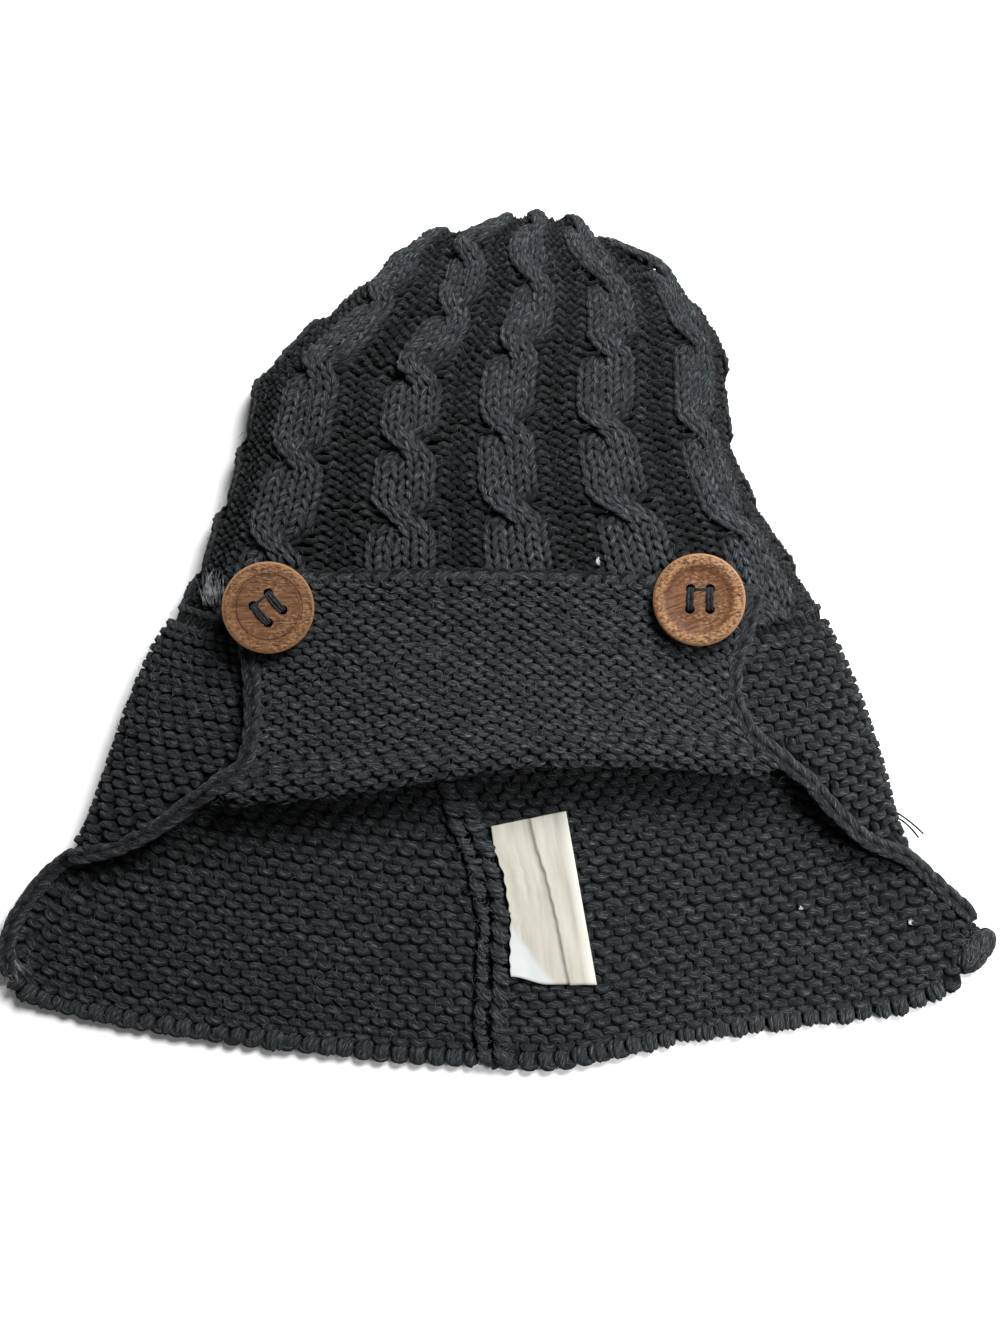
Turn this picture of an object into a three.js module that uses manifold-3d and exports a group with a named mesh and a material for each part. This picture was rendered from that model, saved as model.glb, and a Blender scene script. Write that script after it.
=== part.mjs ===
// Knit baby hat with ear flaps, lying on its back with the face opening toward -Y.
// Millimetres.  X runs across the hat, Y from the neck hem to the crown, Z up from the table.
import * as THREE from "three";
import { mergeVertices } from "three/addons/utils/BufferGeometryUtils.js";
import Module from "manifold-3d";

const wasm = await Module();
wasm.setup();

// Cloth
const CROWN_WALL = 4.0;
const GARTER_WALL = 4.8;
const GAP = 0.3;
const RIM_ROUND = 0.9;
const TABLE_SNAP = 0.35;
const JOIN_GAP = 0.55;

// Body
const TOP = 123.5;
const FRONT_POWER = 0.5;
const BACK_POWER = 0.45;
const BACK_CLOSE = 2.0;
const SIDE_JOIN = 8.6;
const JOIN_DROP = 12.0;
const DROP_LINEAR = 0.7;
const TIP_LIFT = { x: 136.0, reach: 12.0, height: 5.0 };

// Middle of the knit wall, from the crown top down.  depth = sqrt(TOP - y).
const BODY = {
  depth: [0, 0.8, 1.9, 2.6, 3.4, 4.3, 5.2, 6.1, 7.0, 7.9, 8.8, 9.7, 10.5, 11.2, 11.9, 12.6, 13.3,
    13.6, 13.8, 14.0, 14.3, 14.7, 15.9],
  left: [9.5, 1.3, -8.4, -18.6, -29.6, -36.8, -45.8, -57.6, -68.4, -71.6, -75.6, -81.8, -88.6,
    -98.9, -106.1, -112.2, -119.0, -124.3, -135.0, -143.5, -151.3, -158.6, -170.0],
  right: [9.5, 16.8, 23.9, 29.6, 38.2, 49.0, 56.6, 62.6, 64.2, 65.0, 69.5, 78.9, 88.5,
    96.5, 103.7, 109.5, 114.6, 118.4, 126.0, 134.4, 151.0, 167.6, 185.0],
  fold: [8.5, 8.5, 8.5, 8.5, 8.5, 8.5, 8.5, 8.5, 8.5, 8.5, 8.5, 8.5, 8.5,
    8.3, 8.0, 7.8, 7.4, 6.8, 5.2, 4.0, 3.2, 2.8, 2.6],
  crest: [8.5, 11.5, 15.5, 18.0, 20.5, 23.5, 26.5, 29.5, 32.0, 34.0, 35.5, 35.0, 32.8,
    30.8, 28.6, 26.2, 22.5, 17.0, 12.5, 10.0, 8.0, 7.0, 6.0],
};

// Free edge of the garter skirt.  Angle runs round the hat: 90 front, 180 left, 270 back.
const EDGE = {
  angle: [-22, -16, -12, -7, -2, 4, 14.7, 22.9, 28.9, 36.5, 40.5, 50.9, 61.5, 72.1, 83.4, 88.9,
    99.6, 106.4, 114.6, 126.0, 132.7, 136.3, 139.9, 151.7, 156.9, 163.4, 172, 180, 187, 192.3,
    195.9, 197.6, 199.4, 202.7, 204.9, 207.9, 212.4, 220.3, 231.9, 251.9, 262.3, 272, 279.6,
    285.0, 295.5, 309.4, 315.8, 319.5, 322.8, 326.5, 330.7, 335, 338, 344, 348],
  y: [-81.5, -76, -73, -69, -65.5, -63.2, -60.7, -57.9, -52.0, -40.6, -33.8, -31.2, -29.3, -28.7,
    -28.4, -29.5, -32.1, -34.7, -37.0, -38.2, -38.6, -40.4, -47.0, -58.6, -60.7, -62.0, -62.6,
    -63.2, -65.8, -68.8, -73.2, -80, -86.5, -95.4, -100.5, -104.8, -107.5, -111.3, -115.8,
    -122.6, -125.3, -126.3, -122.7, -119.7, -115.2, -111.2, -107.2, -103.6, -100.0, -95.0, -89.8,
    -85.2, -81.5, -76, -73],
};
const SKIRT_ANGLES = [0, 4, 10, 18, 26, 34, 42, 50, 58, 66, 74, 82, 90, 98, 106, 114, 122, 130,
  138, 146, 154, 162, 170, 176, 180, 184, 188, 192, 195, 198, 201, 204, 208, 213, 219, 226, 234,
  242, 250, 258, 266, 274, 282, 290, 298, 306, 313, 319, 323, 327, 331, 335, 339, 344, 348, 352,
  356];
const SKIRT_ROWS = 11;

// Crown: ring angles of the twelve cables, and how far the gathered top tips to the back
const CABLE_ANGLES = [30, 61.4, 86, 108.7, 139.6, 183, 212, 241, 270, 299, 328, 354];
const CABLE_PROFILE = [1.0, 0.9, 0.1, 0.0, 0.1, 0.9];
const CABLE_HEIGHT = 2.4;
const CABLE_WAVE = 0.22;
const CROSS_PITCH = 21.7;
const CABLE_FADE = { from: 10.0, to: 22.0, least: 0.25 };
const TIP_BACK = 32.0;
const TIP_SPAN = 50.0;
const CROWN_ROWS = 15;
const GATHER_PSI = 5.0;
const DENTS = {
  x: [-33.0, -14.0, -52.0],
  y: [77.0, 108.0, 92.0],
  depth: [5.0, 3.0, 2.0],
  wide: [9.0, 5.0, 14.0],
  tall: [7.0, 12.0, 8.0],
};

// Turned-up front flap
const FLAP_LEFT = { y: [-45.0, -39.5, -34.0, -27.5, -16.5, -7.7, 5.4, 16.2],
  x: [-83.5, -78.0, -73.0, -71.2, -70.2, -70.6, -72.8, -74.0] };
const FLAP_RIGHT = { y: [-36.0, -30.8, -24.0, -18.0, -15.8, -6.6, 1.5, 12.4],
  x: [82.5, 77.5, 70.5, 67.8, 66.3, 66.6, 69.0, 71.2] };
const FLAP_TOP = { x: [-74, -56, -28, 0, 28, 56, 72], y: [16.2, 18.9, 19.4, 19.7, 18.6, 17.5, 13.6] };
const FOLD_LINE = { x: [-86, -70, -48, -33, -20, 1, 11, 33, 68, 84],
  y: [-49.5, -46.2, -44.4, -42.1, -39.6, -36.9, -35.8, -36.0, -38.4, -42.0] };
const FLAP_COLUMNS = 25;
const FLAP_ROWS = 8;
const BEND_ROWS = 5;
const BEND_TURN = 2.8;
const FLAP_LIFT = { low: 5.8, high: 7.4, from: 8.0, to: 20.0 };

// Back seam, inside the neck
const SEAM = { y: [-14.0, -29.0, -42.2, -55.9, -68.4, -81.7, -94.6, -110.0, -122.0],
  x: [-20.6, -17.6, -13.2, -8.8, -4.1, -2.1, -2.3, -2.9, -2.3] };
const SEAM_HALF = 4.7;
const SEAM_HEIGHT = 3.8;
const SEAM_LOBES = 0.4;
const SEAM_ROWS = 14;
const SEAM_POINTS = 7;

// Care label sewn into the seam: corners top left, top right, bottom right, bottom left
const LABEL = { x: [-2.6, 19.4, 28.5, 3.2], y: [-54.2, -49.8, -100.9, -100.6] };
const LABEL_THICK = 0.6;
const LABEL_COLUMNS = 9;
const LABEL_ROWS = 9;
const LABEL_RISE = 1.6;
const LABEL_CREASE = { at: 0.55, width: 0.07, height: 0.9 };

// Buttons
const BUTTON_RADIUS = 12.7;
const BUTTON_THICK = 3.8;
const BUTTON_EDGE = 0.8;
const HOLE_RADIUS = 1.35;
const BUTTON_SEGMENTS = 28;
const LEFT_BUTTON = { x: -63.0, y: 9.4, stand: 3.8, lean: 6.0, pitch: 4.5 };
const RIGHT_BUTTON = { x: 54.0, y: 11.9, stand: 3.9, lean: -6.0, pitch: 4.0 };
const LEFT_HOLES = [[0.1, 4.1], [4.0, -0.6], [-4.0, 0.6], [0.0, -4.1]];
const RIGHT_HOLES = [[-2.3, 3.0], [-2.5, -2.6], [3.0, 3.0], [3.0, -2.6]];
const RING_GROOVE = { inner: 8.7, outer: 9.5, depth: 0.4 };
const DISH = { radius: 9.0, depth: 1.1 };
const THREAD_RADIUS = 0.75;
const THREAD_STEPS = 28;
const THREAD_SIDES = 6;

const rad = THREE.MathUtils.degToRad;
const mix = THREE.MathUtils.lerp;
const smooth = (value, from, to) => THREE.MathUtils.smoothstep(value, from, to);

// Smooth curve through a table: xs ascending, one value each
function curve(xs, ys, x) {
  const last = xs.length - 1;
  if (x <= xs[0]) return ys[0];
  if (x >= xs[last]) return ys[last];
  let i = 0;
  while (xs[i + 1] < x) i += 1;
  const span = xs[i + 1] - xs[i];
  const t = (x - xs[i]) / span;
  const slope = (j) => {
    if (j <= 0 || j >= last) return (ys[Math.min(j + 1, last)] - ys[Math.max(j - 1, 0)])
      / (xs[Math.min(j + 1, last)] - xs[Math.max(j - 1, 0)]);
    const before = (ys[j] - ys[j - 1]) / (xs[j] - xs[j - 1]);
    const after = (ys[j + 1] - ys[j]) / (xs[j + 1] - xs[j]);
    return before * after <= 0 ? 0 : 2 * before * after / (before + after);
  };
  const a = slope(i) * span;
  const b = slope(i + 1) * span;
  return ys[i] * (1 + 2 * t) * (1 - t) ** 2 + a * t * (1 - t) ** 2
    + ys[i + 1] * t * t * (3 - 2 * t) - b * t * t * (1 - t);
}

function section(y) {
  const depth = Math.sqrt(Math.max(0, TOP - y));
  const read = (column) => curve(BODY.depth, BODY[column], depth);
  const left = read("left");
  const right = read("right");
  return { centre: (left + right) / 2, half: (right - left) / 2, fold: read("fold"),
    crest: read("crest"), close: Math.min(1, depth / BACK_CLOSE) };
}

function dent(x, y) {
  return DENTS.x.reduce((sum, cx, i) => sum + DENTS.depth[i]
    * Math.exp(-(((x - cx) / DENTS.wide[i]) ** 2) - ((y - DENTS.y[i]) / DENTS.tall[i]) ** 2), 0);
}

// Middle of the wall at a ring angle (degrees) and a height y
function bodyPoint(angle, y, wall) {
  const s = section(y);
  const c = Math.cos(rad(angle));
  const n = Math.sin(rad(angle));
  const x = s.centre + s.half * c;
  const away = Math.abs(n);
  let z = s.fold + (s.crest - s.fold) * away ** FRONT_POWER - dent(x, y) * away;
  if (n < 0) {
    const corner = Math.hypot(Math.max(0, Math.abs(x) - TIP_LIFT.x), 0) / TIP_LIFT.reach;
    const rise = TIP_LIFT.height * corner ** 2;
    z = s.fold - (s.fold - wall / 2) * s.close * away ** BACK_POWER + rise;
  }
  return new THREE.Vector3(x, y, z);
}

// Front of the body under a given x, y: point and outward normal
function frontPoint(x, y, wall) {
  const s = section(y);
  const angle = THREE.MathUtils.radToDeg(Math.acos(THREE.MathUtils.clamp((x - s.centre) / s.half, -1, 1)));
  return bodyPoint(angle, y, wall);
}

function frontNormal(x, y) {
  const step = 1.5;
  const across = frontPoint(x + step, y, GARTER_WALL).sub(frontPoint(x - step, y, GARTER_WALL));
  const along = frontPoint(x, y + step, GARTER_WALL).sub(frontPoint(x, y - step, GARTER_WALL));
  return across.cross(along).normalize();
}

function backTop(x, y) {
  const s = section(y);
  const aside = THREE.MathUtils.clamp((x - s.centre) / s.half, -1, 1);
  const angle = 360 - THREE.MathUtils.radToDeg(Math.acos(aside));
  return bodyPoint(angle, y, GARTER_WALL).z + GARTER_WALL / 2;
}

// Line where the crown meets the garter skirt
function joinLine(angle) {
  const c = Math.abs(Math.cos(rad(angle)));
  return SIDE_JOIN - JOIN_DROP * (1 - DROP_LINEAR * c - (1 - DROP_LINEAR) * c ** 4);
}

// Closed wall round a grid of mid-wall points.  grid[row][column], ring true when columns close.
function wallFromGrid(grid, wall, options) {
  const { ring, bump = null, pole = null, lowRound = RIM_ROUND, highRound = RIM_ROUND } = options;
  const rows = grid.length;
  const columns = grid[0].length;
  const at = (r, c) => grid[Math.max(0, Math.min(rows - 1, r))][
    ring ? (c + columns) % columns : Math.max(0, Math.min(columns - 1, c))];
  const normals = grid.map((row, r) => row.map((point, c) => {
    const across = at(r, c + 1).clone().sub(at(r, c - 1));
    const along = at(r + 1, c).clone().sub(at(r - 1, c));
    return across.cross(along).normalize();
  }));
  const positions = [];
  const indices = [];
  const push = (v) => positions.push(v.x, v.y, v.z < TABLE_SNAP ? 0 : v.z) / 3 - 1;
  const outer = grid.map((row, r) => row.map((p, c) => push(p.clone().addScaledVector(
    normals[r][c], wall / 2 + (bump ? bump[r][c] : 0)))));
  const inner = grid.map((row, r) => row.map((p, c) => push(
    p.clone().addScaledVector(normals[r][c], -wall / 2))));
  const quad = (a, b, c, d) => indices.push(a, b, c, a, c, d);
  const steps = ring ? columns : columns - 1;
  for (let r = 0; r < rows - 1; r += 1) {
    for (let c = 0; c < steps; c += 1) {
      const n = (c + 1) % columns;
      quad(outer[r][c], outer[r][n], outer[r + 1][n], outer[r + 1][c]);
      quad(inner[r][c], inner[r + 1][c], inner[r + 1][n], inner[r][n]);
    }
  }
  const rim = (cells, closed, round) => {
    const lips = cells.map(([r, c, away]) => push(grid[r][c].clone().add(away.setLength(round))));
    const count = closed ? cells.length : cells.length - 1;
    for (let i = 0; i < count; i += 1) {
      const j = (i + 1) % cells.length;
      const [r, c] = cells[i];
      const [s, d] = cells[j];
      quad(outer[r][c], lips[i], lips[j], outer[s][d]);
      quad(lips[i], inner[r][c], inner[s][d], lips[j]);
    }
  };
  const last = rows - 1;
  const down = (r, c, next) => grid[r][c].clone().sub(grid[next][c]);
  if (ring) {
    rim(grid[0].map((_, c) => [0, c, down(0, c, 1)]), true, lowRound);
    if (pole) {
      const top = push(pole.outer);
      const under = push(pole.inner);
      for (let c = 0; c < columns; c += 1) {
        const n = (c + 1) % columns;
        indices.push(outer[last][c], outer[last][n], top);
        indices.push(inner[last][n], inner[last][c], under);
      }
    } else {
      rim(grid[0].map((_, c) => [last, c, down(last, c, last - 1)]).reverse(), true, highRound);
    }
  } else {
    const side = (r, c, next) => grid[r][c].clone().sub(grid[r][next]);
    const end = columns - 1;
    const corner = (r, c) => down(r, c, r === 0 ? 1 : last - 1).setLength(1)
      .add(side(r, c, c === 0 ? 1 : end - 1).setLength(1));
    const loop = [[0, 0, corner(0, 0)]];
    for (let c = 1; c < end; c += 1) loop.push([0, c, down(0, c, 1)]);
    loop.push([0, end, corner(0, end)]);
    for (let r = 1; r < last; r += 1) loop.push([r, end, side(r, end, end - 1)]);
    loop.push([last, end, corner(last, end)]);
    for (let c = end - 1; c > 0; c -= 1) loop.push([last, c, down(last, c, last - 1)]);
    loop.push([last, 0, corner(last, 0)]);
    for (let r = last - 1; r > 0; r -= 1) loop.push([r, 0, side(r, 0, 1)]);
    rim(loop, true, RIM_ROUND);
  }
  return geometryFrom(positions, indices);
}

function geometryFrom(positions, indices) {
  const geometry = new THREE.BufferGeometry();
  geometry.setAttribute("position", new THREE.Float32BufferAttribute(positions, 3));
  geometry.setIndex(indices);
  geometry.computeVertexNormals();
  return geometry;
}

const part = new THREE.Group();
part.name = "knit_baby_hat";

function addPiece(name, geometry, colour, roughness) {
  const material = new THREE.MeshStandardMaterial({ color: colour, roughness, metalness: 0 });
  const mesh = new THREE.Mesh(geometry, material);
  mesh.name = name;
  part.add(mesh);
}

// Crown: direction on a tilted dome, laid onto the flattened pouch
function crownPoint(phi, psi) {
  const tilt = rad(TIP_BACK * (1 - smooth(psi, 0, TIP_SPAN)));
  const across = Math.sin(rad(psi)) * Math.cos(rad(phi));
  const up = Math.cos(rad(psi));
  const out = Math.sin(rad(psi)) * Math.sin(rad(phi));
  const height = up * Math.cos(tilt) + out * Math.sin(tilt);
  const front = out * Math.cos(tilt) - up * Math.sin(tilt);
  const angle = THREE.MathUtils.radToDeg(Math.atan2(front, across));
  const base = joinLine(angle) + JOIN_GAP;
  return bodyPoint(angle, base + (TOP - base) * height, CROWN_WALL);
}

function crownRings() {
  const fine = 240;
  const lengths = [0];
  const psiAt = (i) => mix(90, GATHER_PSI, i / fine);
  for (let i = 1; i <= fine; i += 1) {
    lengths.push(lengths[i - 1] + crownPoint(90, psiAt(i)).distanceTo(crownPoint(90, psiAt(i - 1))));
  }
  const total = lengths[fine];
  return Array.from({ length: CROWN_ROWS + 1 }, (_, r) => {
    const want = total * r / CROWN_ROWS;
    const i = Math.max(1, lengths.findIndex((value) => value >= want - 1e-9));
    const part0 = (want - lengths[i - 1]) / (lengths[i] - lengths[i - 1]);
    return { psi: mix(psiAt(i - 1), psiAt(i), part0), along: want };
  });
}

const crownColumns = [];
CABLE_ANGLES.forEach((angle, i) => {
  const next = i + 1 < CABLE_ANGLES.length ? CABLE_ANGLES[i + 1] : CABLE_ANGLES[0] + 360;
  CABLE_PROFILE.forEach((rib, k) => {
    crownColumns.push({ phi: mix(angle, next, k / CABLE_PROFILE.length), rib });
  });
});
crownColumns.reverse();
const rings = crownRings();
const crownGrid = rings.map(({ psi }) => crownColumns.map(({ phi }) => crownPoint(phi, psi)));
const crownBump = rings.map(({ psi, along }, r) => crownColumns.map(({ rib }, c) => {
  const { y, z } = crownGrid[r][c];
  const fade = mix(CABLE_FADE.least, 1, smooth(y, CABLE_FADE.from, CABLE_FADE.to)) * smooth(psi, 0, 20);
  const wave = 1 - CABLE_WAVE + CABLE_WAVE * Math.cos(2 * Math.PI * along / CROSS_PITCH);
  return z < CROWN_WALL ? 0 : CABLE_HEIGHT * rib * fade * wave;
}));
const gather = crownPoint(90, 0);
addPiece("crown", wallFromGrid(crownGrid, CROWN_WALL, {
  ring: true,
  bump: crownBump,
  lowRound: 0,
  pole: { outer: gather.clone().add(new THREE.Vector3(0, 0, -CROWN_WALL / 2)),
    inner: gather.clone().add(new THREE.Vector3(0, 0, CROWN_WALL / 2)) },
}), 0x3b3e41, 0.95);

// Garter skirt: neck and ear flaps, joined in front under the turned-up flap
function edgeLine(angle) {
  const turned = angle > 348 ? angle - 360 : angle;
  return curve(EDGE.angle, EDGE.y, turned);
}
const skirtColumns = [...SKIRT_ANGLES].reverse();
const skirtGrid = Array.from({ length: SKIRT_ROWS + 1 }, (_, r) => skirtColumns.map((angle) => {
  const high = joinLine(angle) - JOIN_GAP;
  return bodyPoint(angle, mix(edgeLine(angle), high, r / SKIRT_ROWS), GARTER_WALL);
}));
addPiece("skirt", wallFromGrid(skirtGrid, GARTER_WALL, { ring: true, highRound: 0 }), 0x36393c, 0.95);

// Front flap: lies up over the front, bends round at the fold line
const bendRadius = FLAP_LIFT.low / 2;
const flapGrid = [];
const foldCentre = (x) => curve(FOLD_LINE.x, FOLD_LINE.y, x) + bendRadius + GARTER_WALL / 2;
for (let r = BEND_ROWS; r >= 1; r -= 1) {
  const turn = BEND_TURN * r / BEND_ROWS;
  flapGrid.push(Array.from({ length: FLAP_COLUMNS }, (_, c) => {
    const s = c / (FLAP_COLUMNS - 1);
    const x = mix(FLAP_LEFT.x[0], FLAP_RIGHT.x[0], s);
    const y = foldCentre(x);
    const base = frontPoint(x, y, GARTER_WALL);
    const normal = frontNormal(x, y);
    const toward = new THREE.Vector3(0, -normal.z, normal.y).normalize();
    return base.addScaledVector(normal, bendRadius * (1 + Math.cos(turn)))
      .addScaledVector(toward, bendRadius * Math.sin(turn));
  }));
}
for (let r = 0; r <= FLAP_ROWS; r += 1) {
  const v = r / FLAP_ROWS;
  flapGrid.push(Array.from({ length: FLAP_COLUMNS }, (_, c) => {
    const s = c / (FLAP_COLUMNS - 1);
    const xLow = mix(FLAP_LEFT.x[0], FLAP_RIGHT.x[0], s);
    const xHigh = mix(FLAP_LEFT.x.at(-1), FLAP_RIGHT.x.at(-1), s);
    const y = mix(foldCentre(xLow), curve(FLAP_TOP.x, FLAP_TOP.y, xHigh), v);
    const left = curve(FLAP_LEFT.y, FLAP_LEFT.x, y);
    const right = curve(FLAP_RIGHT.y, FLAP_RIGHT.x, y);
    const x = r === 0 ? xLow : mix(left, right, s);
    const lift = mix(FLAP_LIFT.low, FLAP_LIFT.high, smooth(y, FLAP_LIFT.from, FLAP_LIFT.to));
    return frontPoint(x, y, GARTER_WALL).addScaledVector(frontNormal(x, y), lift);
  }));
}
addPiece("front_flap", wallFromGrid(flapGrid, GARTER_WALL, { ring: false }), 0x404347, 0.95);

// Back seam: two lobed ridge on the inside of the neck
function seamX(y) {
  return curve([...SEAM.y].reverse(), [...SEAM.x].reverse(), y);
}
const seamPositions = [];
const seamIndices = [];
const seamLoop = 2 * SEAM_POINTS;
for (let r = 0; r <= SEAM_ROWS; r += 1) {
  const y = mix(SEAM.y.at(-1), SEAM.y[0], r / SEAM_ROWS);
  const middle = seamX(y);
  const taper = r === 0 || r === SEAM_ROWS ? 0.6 : 1;
  const corner = (i, high) => {
    const w = mix(-1, 1, i / (SEAM_POINTS - 1));
    const x = middle + w * SEAM_HALF * taper;
    const lobe = Math.sqrt(Math.max(0, 1 - ((Math.abs(w) - 0.5) / 0.5) ** 2));
    const rise = high ? SEAM_HEIGHT * taper * (SEAM_LOBES + (1 - SEAM_LOBES) * lobe) : 0;
    seamPositions.push(x, y, backTop(x, y) + GAP + rise);
  };
  for (let i = 0; i < SEAM_POINTS; i += 1) corner(i, true);
  for (let i = SEAM_POINTS - 1; i >= 0; i -= 1) corner(i, false);
}
for (let r = 0; r < SEAM_ROWS; r += 1) {
  for (let i = 0; i < seamLoop; i += 1) {
    const j = (i + 1) % seamLoop;
    const a = r * seamLoop + i;
    const b = r * seamLoop + j;
    seamIndices.push(a, b, b + seamLoop, a, b + seamLoop, a + seamLoop);
  }
}
const seamEnd = SEAM_ROWS * seamLoop;
for (let i = 0; i < SEAM_POINTS - 1; i += 1) {
  const j = seamLoop - 1 - i;
  seamIndices.push(i, j, i + 1, i + 1, j, j - 1);
  seamIndices.push(seamEnd + i, seamEnd + i + 1, seamEnd + j, seamEnd + i + 1, seamEnd + j - 1, seamEnd + j);
}
addPiece("back_seam", geometryFrom(seamPositions, seamIndices), 0x3d4043, 0.95);

// Label: thin bare tape, one edge in the seam, a soft crease down its length
const labelGrid = Array.from({ length: LABEL_ROWS + 1 }, (_, r) => {
  const v = 1 - r / LABEL_ROWS;
  return Array.from({ length: LABEL_COLUMNS + 1 }, (__, c) => {
    const u = c / LABEL_COLUMNS;
    const y = mix(mix(LABEL.y[0], LABEL.y[1], u), mix(LABEL.y[3], LABEL.y[2], u), v);
    const leftX = Math.max(mix(LABEL.x[0], LABEL.x[3], v), seamX(y) + SEAM_HALF + GAP * 2);
    const x = mix(leftX, mix(LABEL.x[1], LABEL.x[2], v), u);
    const crease = LABEL_CREASE.height * Math.exp(-(((u - LABEL_CREASE.at) / LABEL_CREASE.width) ** 2));
    const z = backTop(x, y) + GAP + LABEL_THICK / 2 + LABEL_RISE * (1 - u) ** 2 + crease;
    return new THREE.Vector3(x, y, z);
  });
});
addPiece("label", labelSheet(labelGrid), 0xe9e4d8, 0.85);

function labelSheet(grid) {
  const positions = [];
  const indices = [];
  const rows = grid.length;
  const columns = grid[0].length;
  const id = (r, c, top) => (top ? 0 : rows * columns) + r * columns + c;
  [1, -1].forEach((side) => grid.forEach((row) => row.forEach((p) => positions.push(
    p.x, p.y, p.z + side * LABEL_THICK / 2))));
  const quad = (a, b, c, d) => indices.push(a, b, c, a, c, d);
  for (let r = 0; r < rows - 1; r += 1) {
    for (let c = 0; c < columns - 1; c += 1) {
      quad(id(r, c, true), id(r, c + 1, true), id(r + 1, c + 1, true), id(r + 1, c, true));
      quad(id(r, c, false), id(r + 1, c, false), id(r + 1, c + 1, false), id(r, c + 1, false));
    }
  }
  const top = rows - 1;
  for (let c = 0; c < columns - 1; c += 1) {
    quad(id(0, c, true), id(0, c, false), id(0, c + 1, false), id(0, c + 1, true));
    quad(id(top, c, true), id(top, c + 1, true), id(top, c + 1, false), id(top, c, false));
  }
  const end = columns - 1;
  for (let r = 0; r < rows - 1; r += 1) {
    quad(id(r, 0, true), id(r + 1, 0, true), id(r + 1, 0, false), id(r, 0, false));
    quad(id(r, end, true), id(r, end, false), id(r + 1, end, false), id(r + 1, end, true));
  }
  return geometryFrom(positions, indices);
}

// Buttons: turned wood discs with four holes
function solidFrom(geometry) {
  geometry.deleteAttribute("normal");
  geometry.deleteAttribute("uv");
  const merged = mergeVertices(geometry);
  return new wasm.Manifold(new wasm.Mesh({
    numProp: 3,
    vertProperties: new Float32Array(merged.attributes.position.array),
    triVerts: new Uint32Array(merged.index.array),
  }));
}

function geometryOf(solid) {
  const mesh = solid.getMesh();
  return geometryFrom(Array.from(mesh.vertProperties), Array.from(mesh.triVerts));
}

function buttonBlank(profile, holes) {
  const disc = new THREE.LatheGeometry(profile.map(([r, z]) => new THREE.Vector2(r, z)), BUTTON_SEGMENTS);
  disc.rotateX(Math.PI / 2);
  let solid = solidFrom(disc);
  holes.forEach(([x, y]) => {
    const drill = new THREE.CylinderGeometry(HOLE_RADIUS, HOLE_RADIUS, BUTTON_THICK * 3, 12);
    drill.rotateX(Math.PI / 2);
    drill.translate(x, y, 0);
    solid = solid.subtract(solidFrom(drill));
  });
  return geometryOf(solid);
}

const thick = BUTTON_THICK;
const edge = BUTTON_EDGE;
const rimRadius = BUTTON_RADIUS;
const grooved = [[0, 0], [rimRadius - edge, 0], [rimRadius, edge], [rimRadius, thick - edge],
  [rimRadius - edge, thick], [RING_GROOVE.outer, thick],
  [(RING_GROOVE.inner + RING_GROOVE.outer) / 2, thick - RING_GROOVE.depth], [RING_GROOVE.inner, thick],
  [0, thick]];
const dished = [[0, 0], [rimRadius - edge, 0], [rimRadius, edge], [rimRadius, thick - edge],
  [rimRadius - edge, thick], [DISH.radius + 1.4, thick], [DISH.radius, thick - 0.6 * DISH.depth],
  [DISH.radius - 1.5, thick - DISH.depth], [0, thick - DISH.depth]];

function buttonFrame(place) {
  const lift = mix(FLAP_LIFT.low, FLAP_LIFT.high, smooth(place.y, FLAP_LIFT.from, FLAP_LIFT.to));
  const normal = frontNormal(place.x, place.y);
  const seat = frontPoint(place.x, place.y, GARTER_WALL)
    .addScaledVector(normal, lift + GARTER_WALL / 2);
  seat.z += place.stand;
  const tilt = new THREE.Euler(rad(place.pitch), rad(place.lean), 0);
  const turn = new THREE.Matrix4().makeRotationFromEuler(tilt);
  return new THREE.Matrix4().makeTranslation(seat.x, seat.y, seat.z).multiply(turn);
}

const leftFrame = buttonFrame(LEFT_BUTTON);
const rightFrame = buttonFrame(RIGHT_BUTTON);
addPiece("button_left", buttonBlank(grooved, LEFT_HOLES).applyMatrix4(leftFrame), 0x8a5a38, 0.55);
addPiece("button_right", buttonBlank(dished, RIGHT_HOLES).applyMatrix4(rightFrame), 0x9a6636, 0.55);

// Thread: up through one hole, over to the next, back down and under to the second pair
function threadPath(pairs, face) {
  const over = face + THREAD_RADIUS + 0.45;
  const under = -THREAD_RADIUS - GAP;
  const [[a, b], [c, d]] = pairs;
  const point = ([x, y], z) => new THREE.Vector3(x, y, z);
  const half = ([x0, y0], [x1, y1], t) => [mix(x0, x1, t), mix(y0, y1, t)];
  return [point(a, under), point(a, face * 0.5), point(half(a, b, 0.16), over - 0.1),
    point(half(a, b, 0.5), over + 0.15), point(half(a, b, 0.84), over - 0.1), point(b, face * 0.5),
    point(half(b, c, 0.1), under + 0.1), point(half(b, c, 0.5), under - 0.15),
    point(half(b, c, 0.9), under + 0.1), point(c, face * 0.5), point(half(c, d, 0.16), over - 0.1),
    point(half(c, d, 0.5), over + 0.15), point(half(c, d, 0.84), over - 0.1),
    point(d, face * 0.5), point(d, under)];
}

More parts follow.
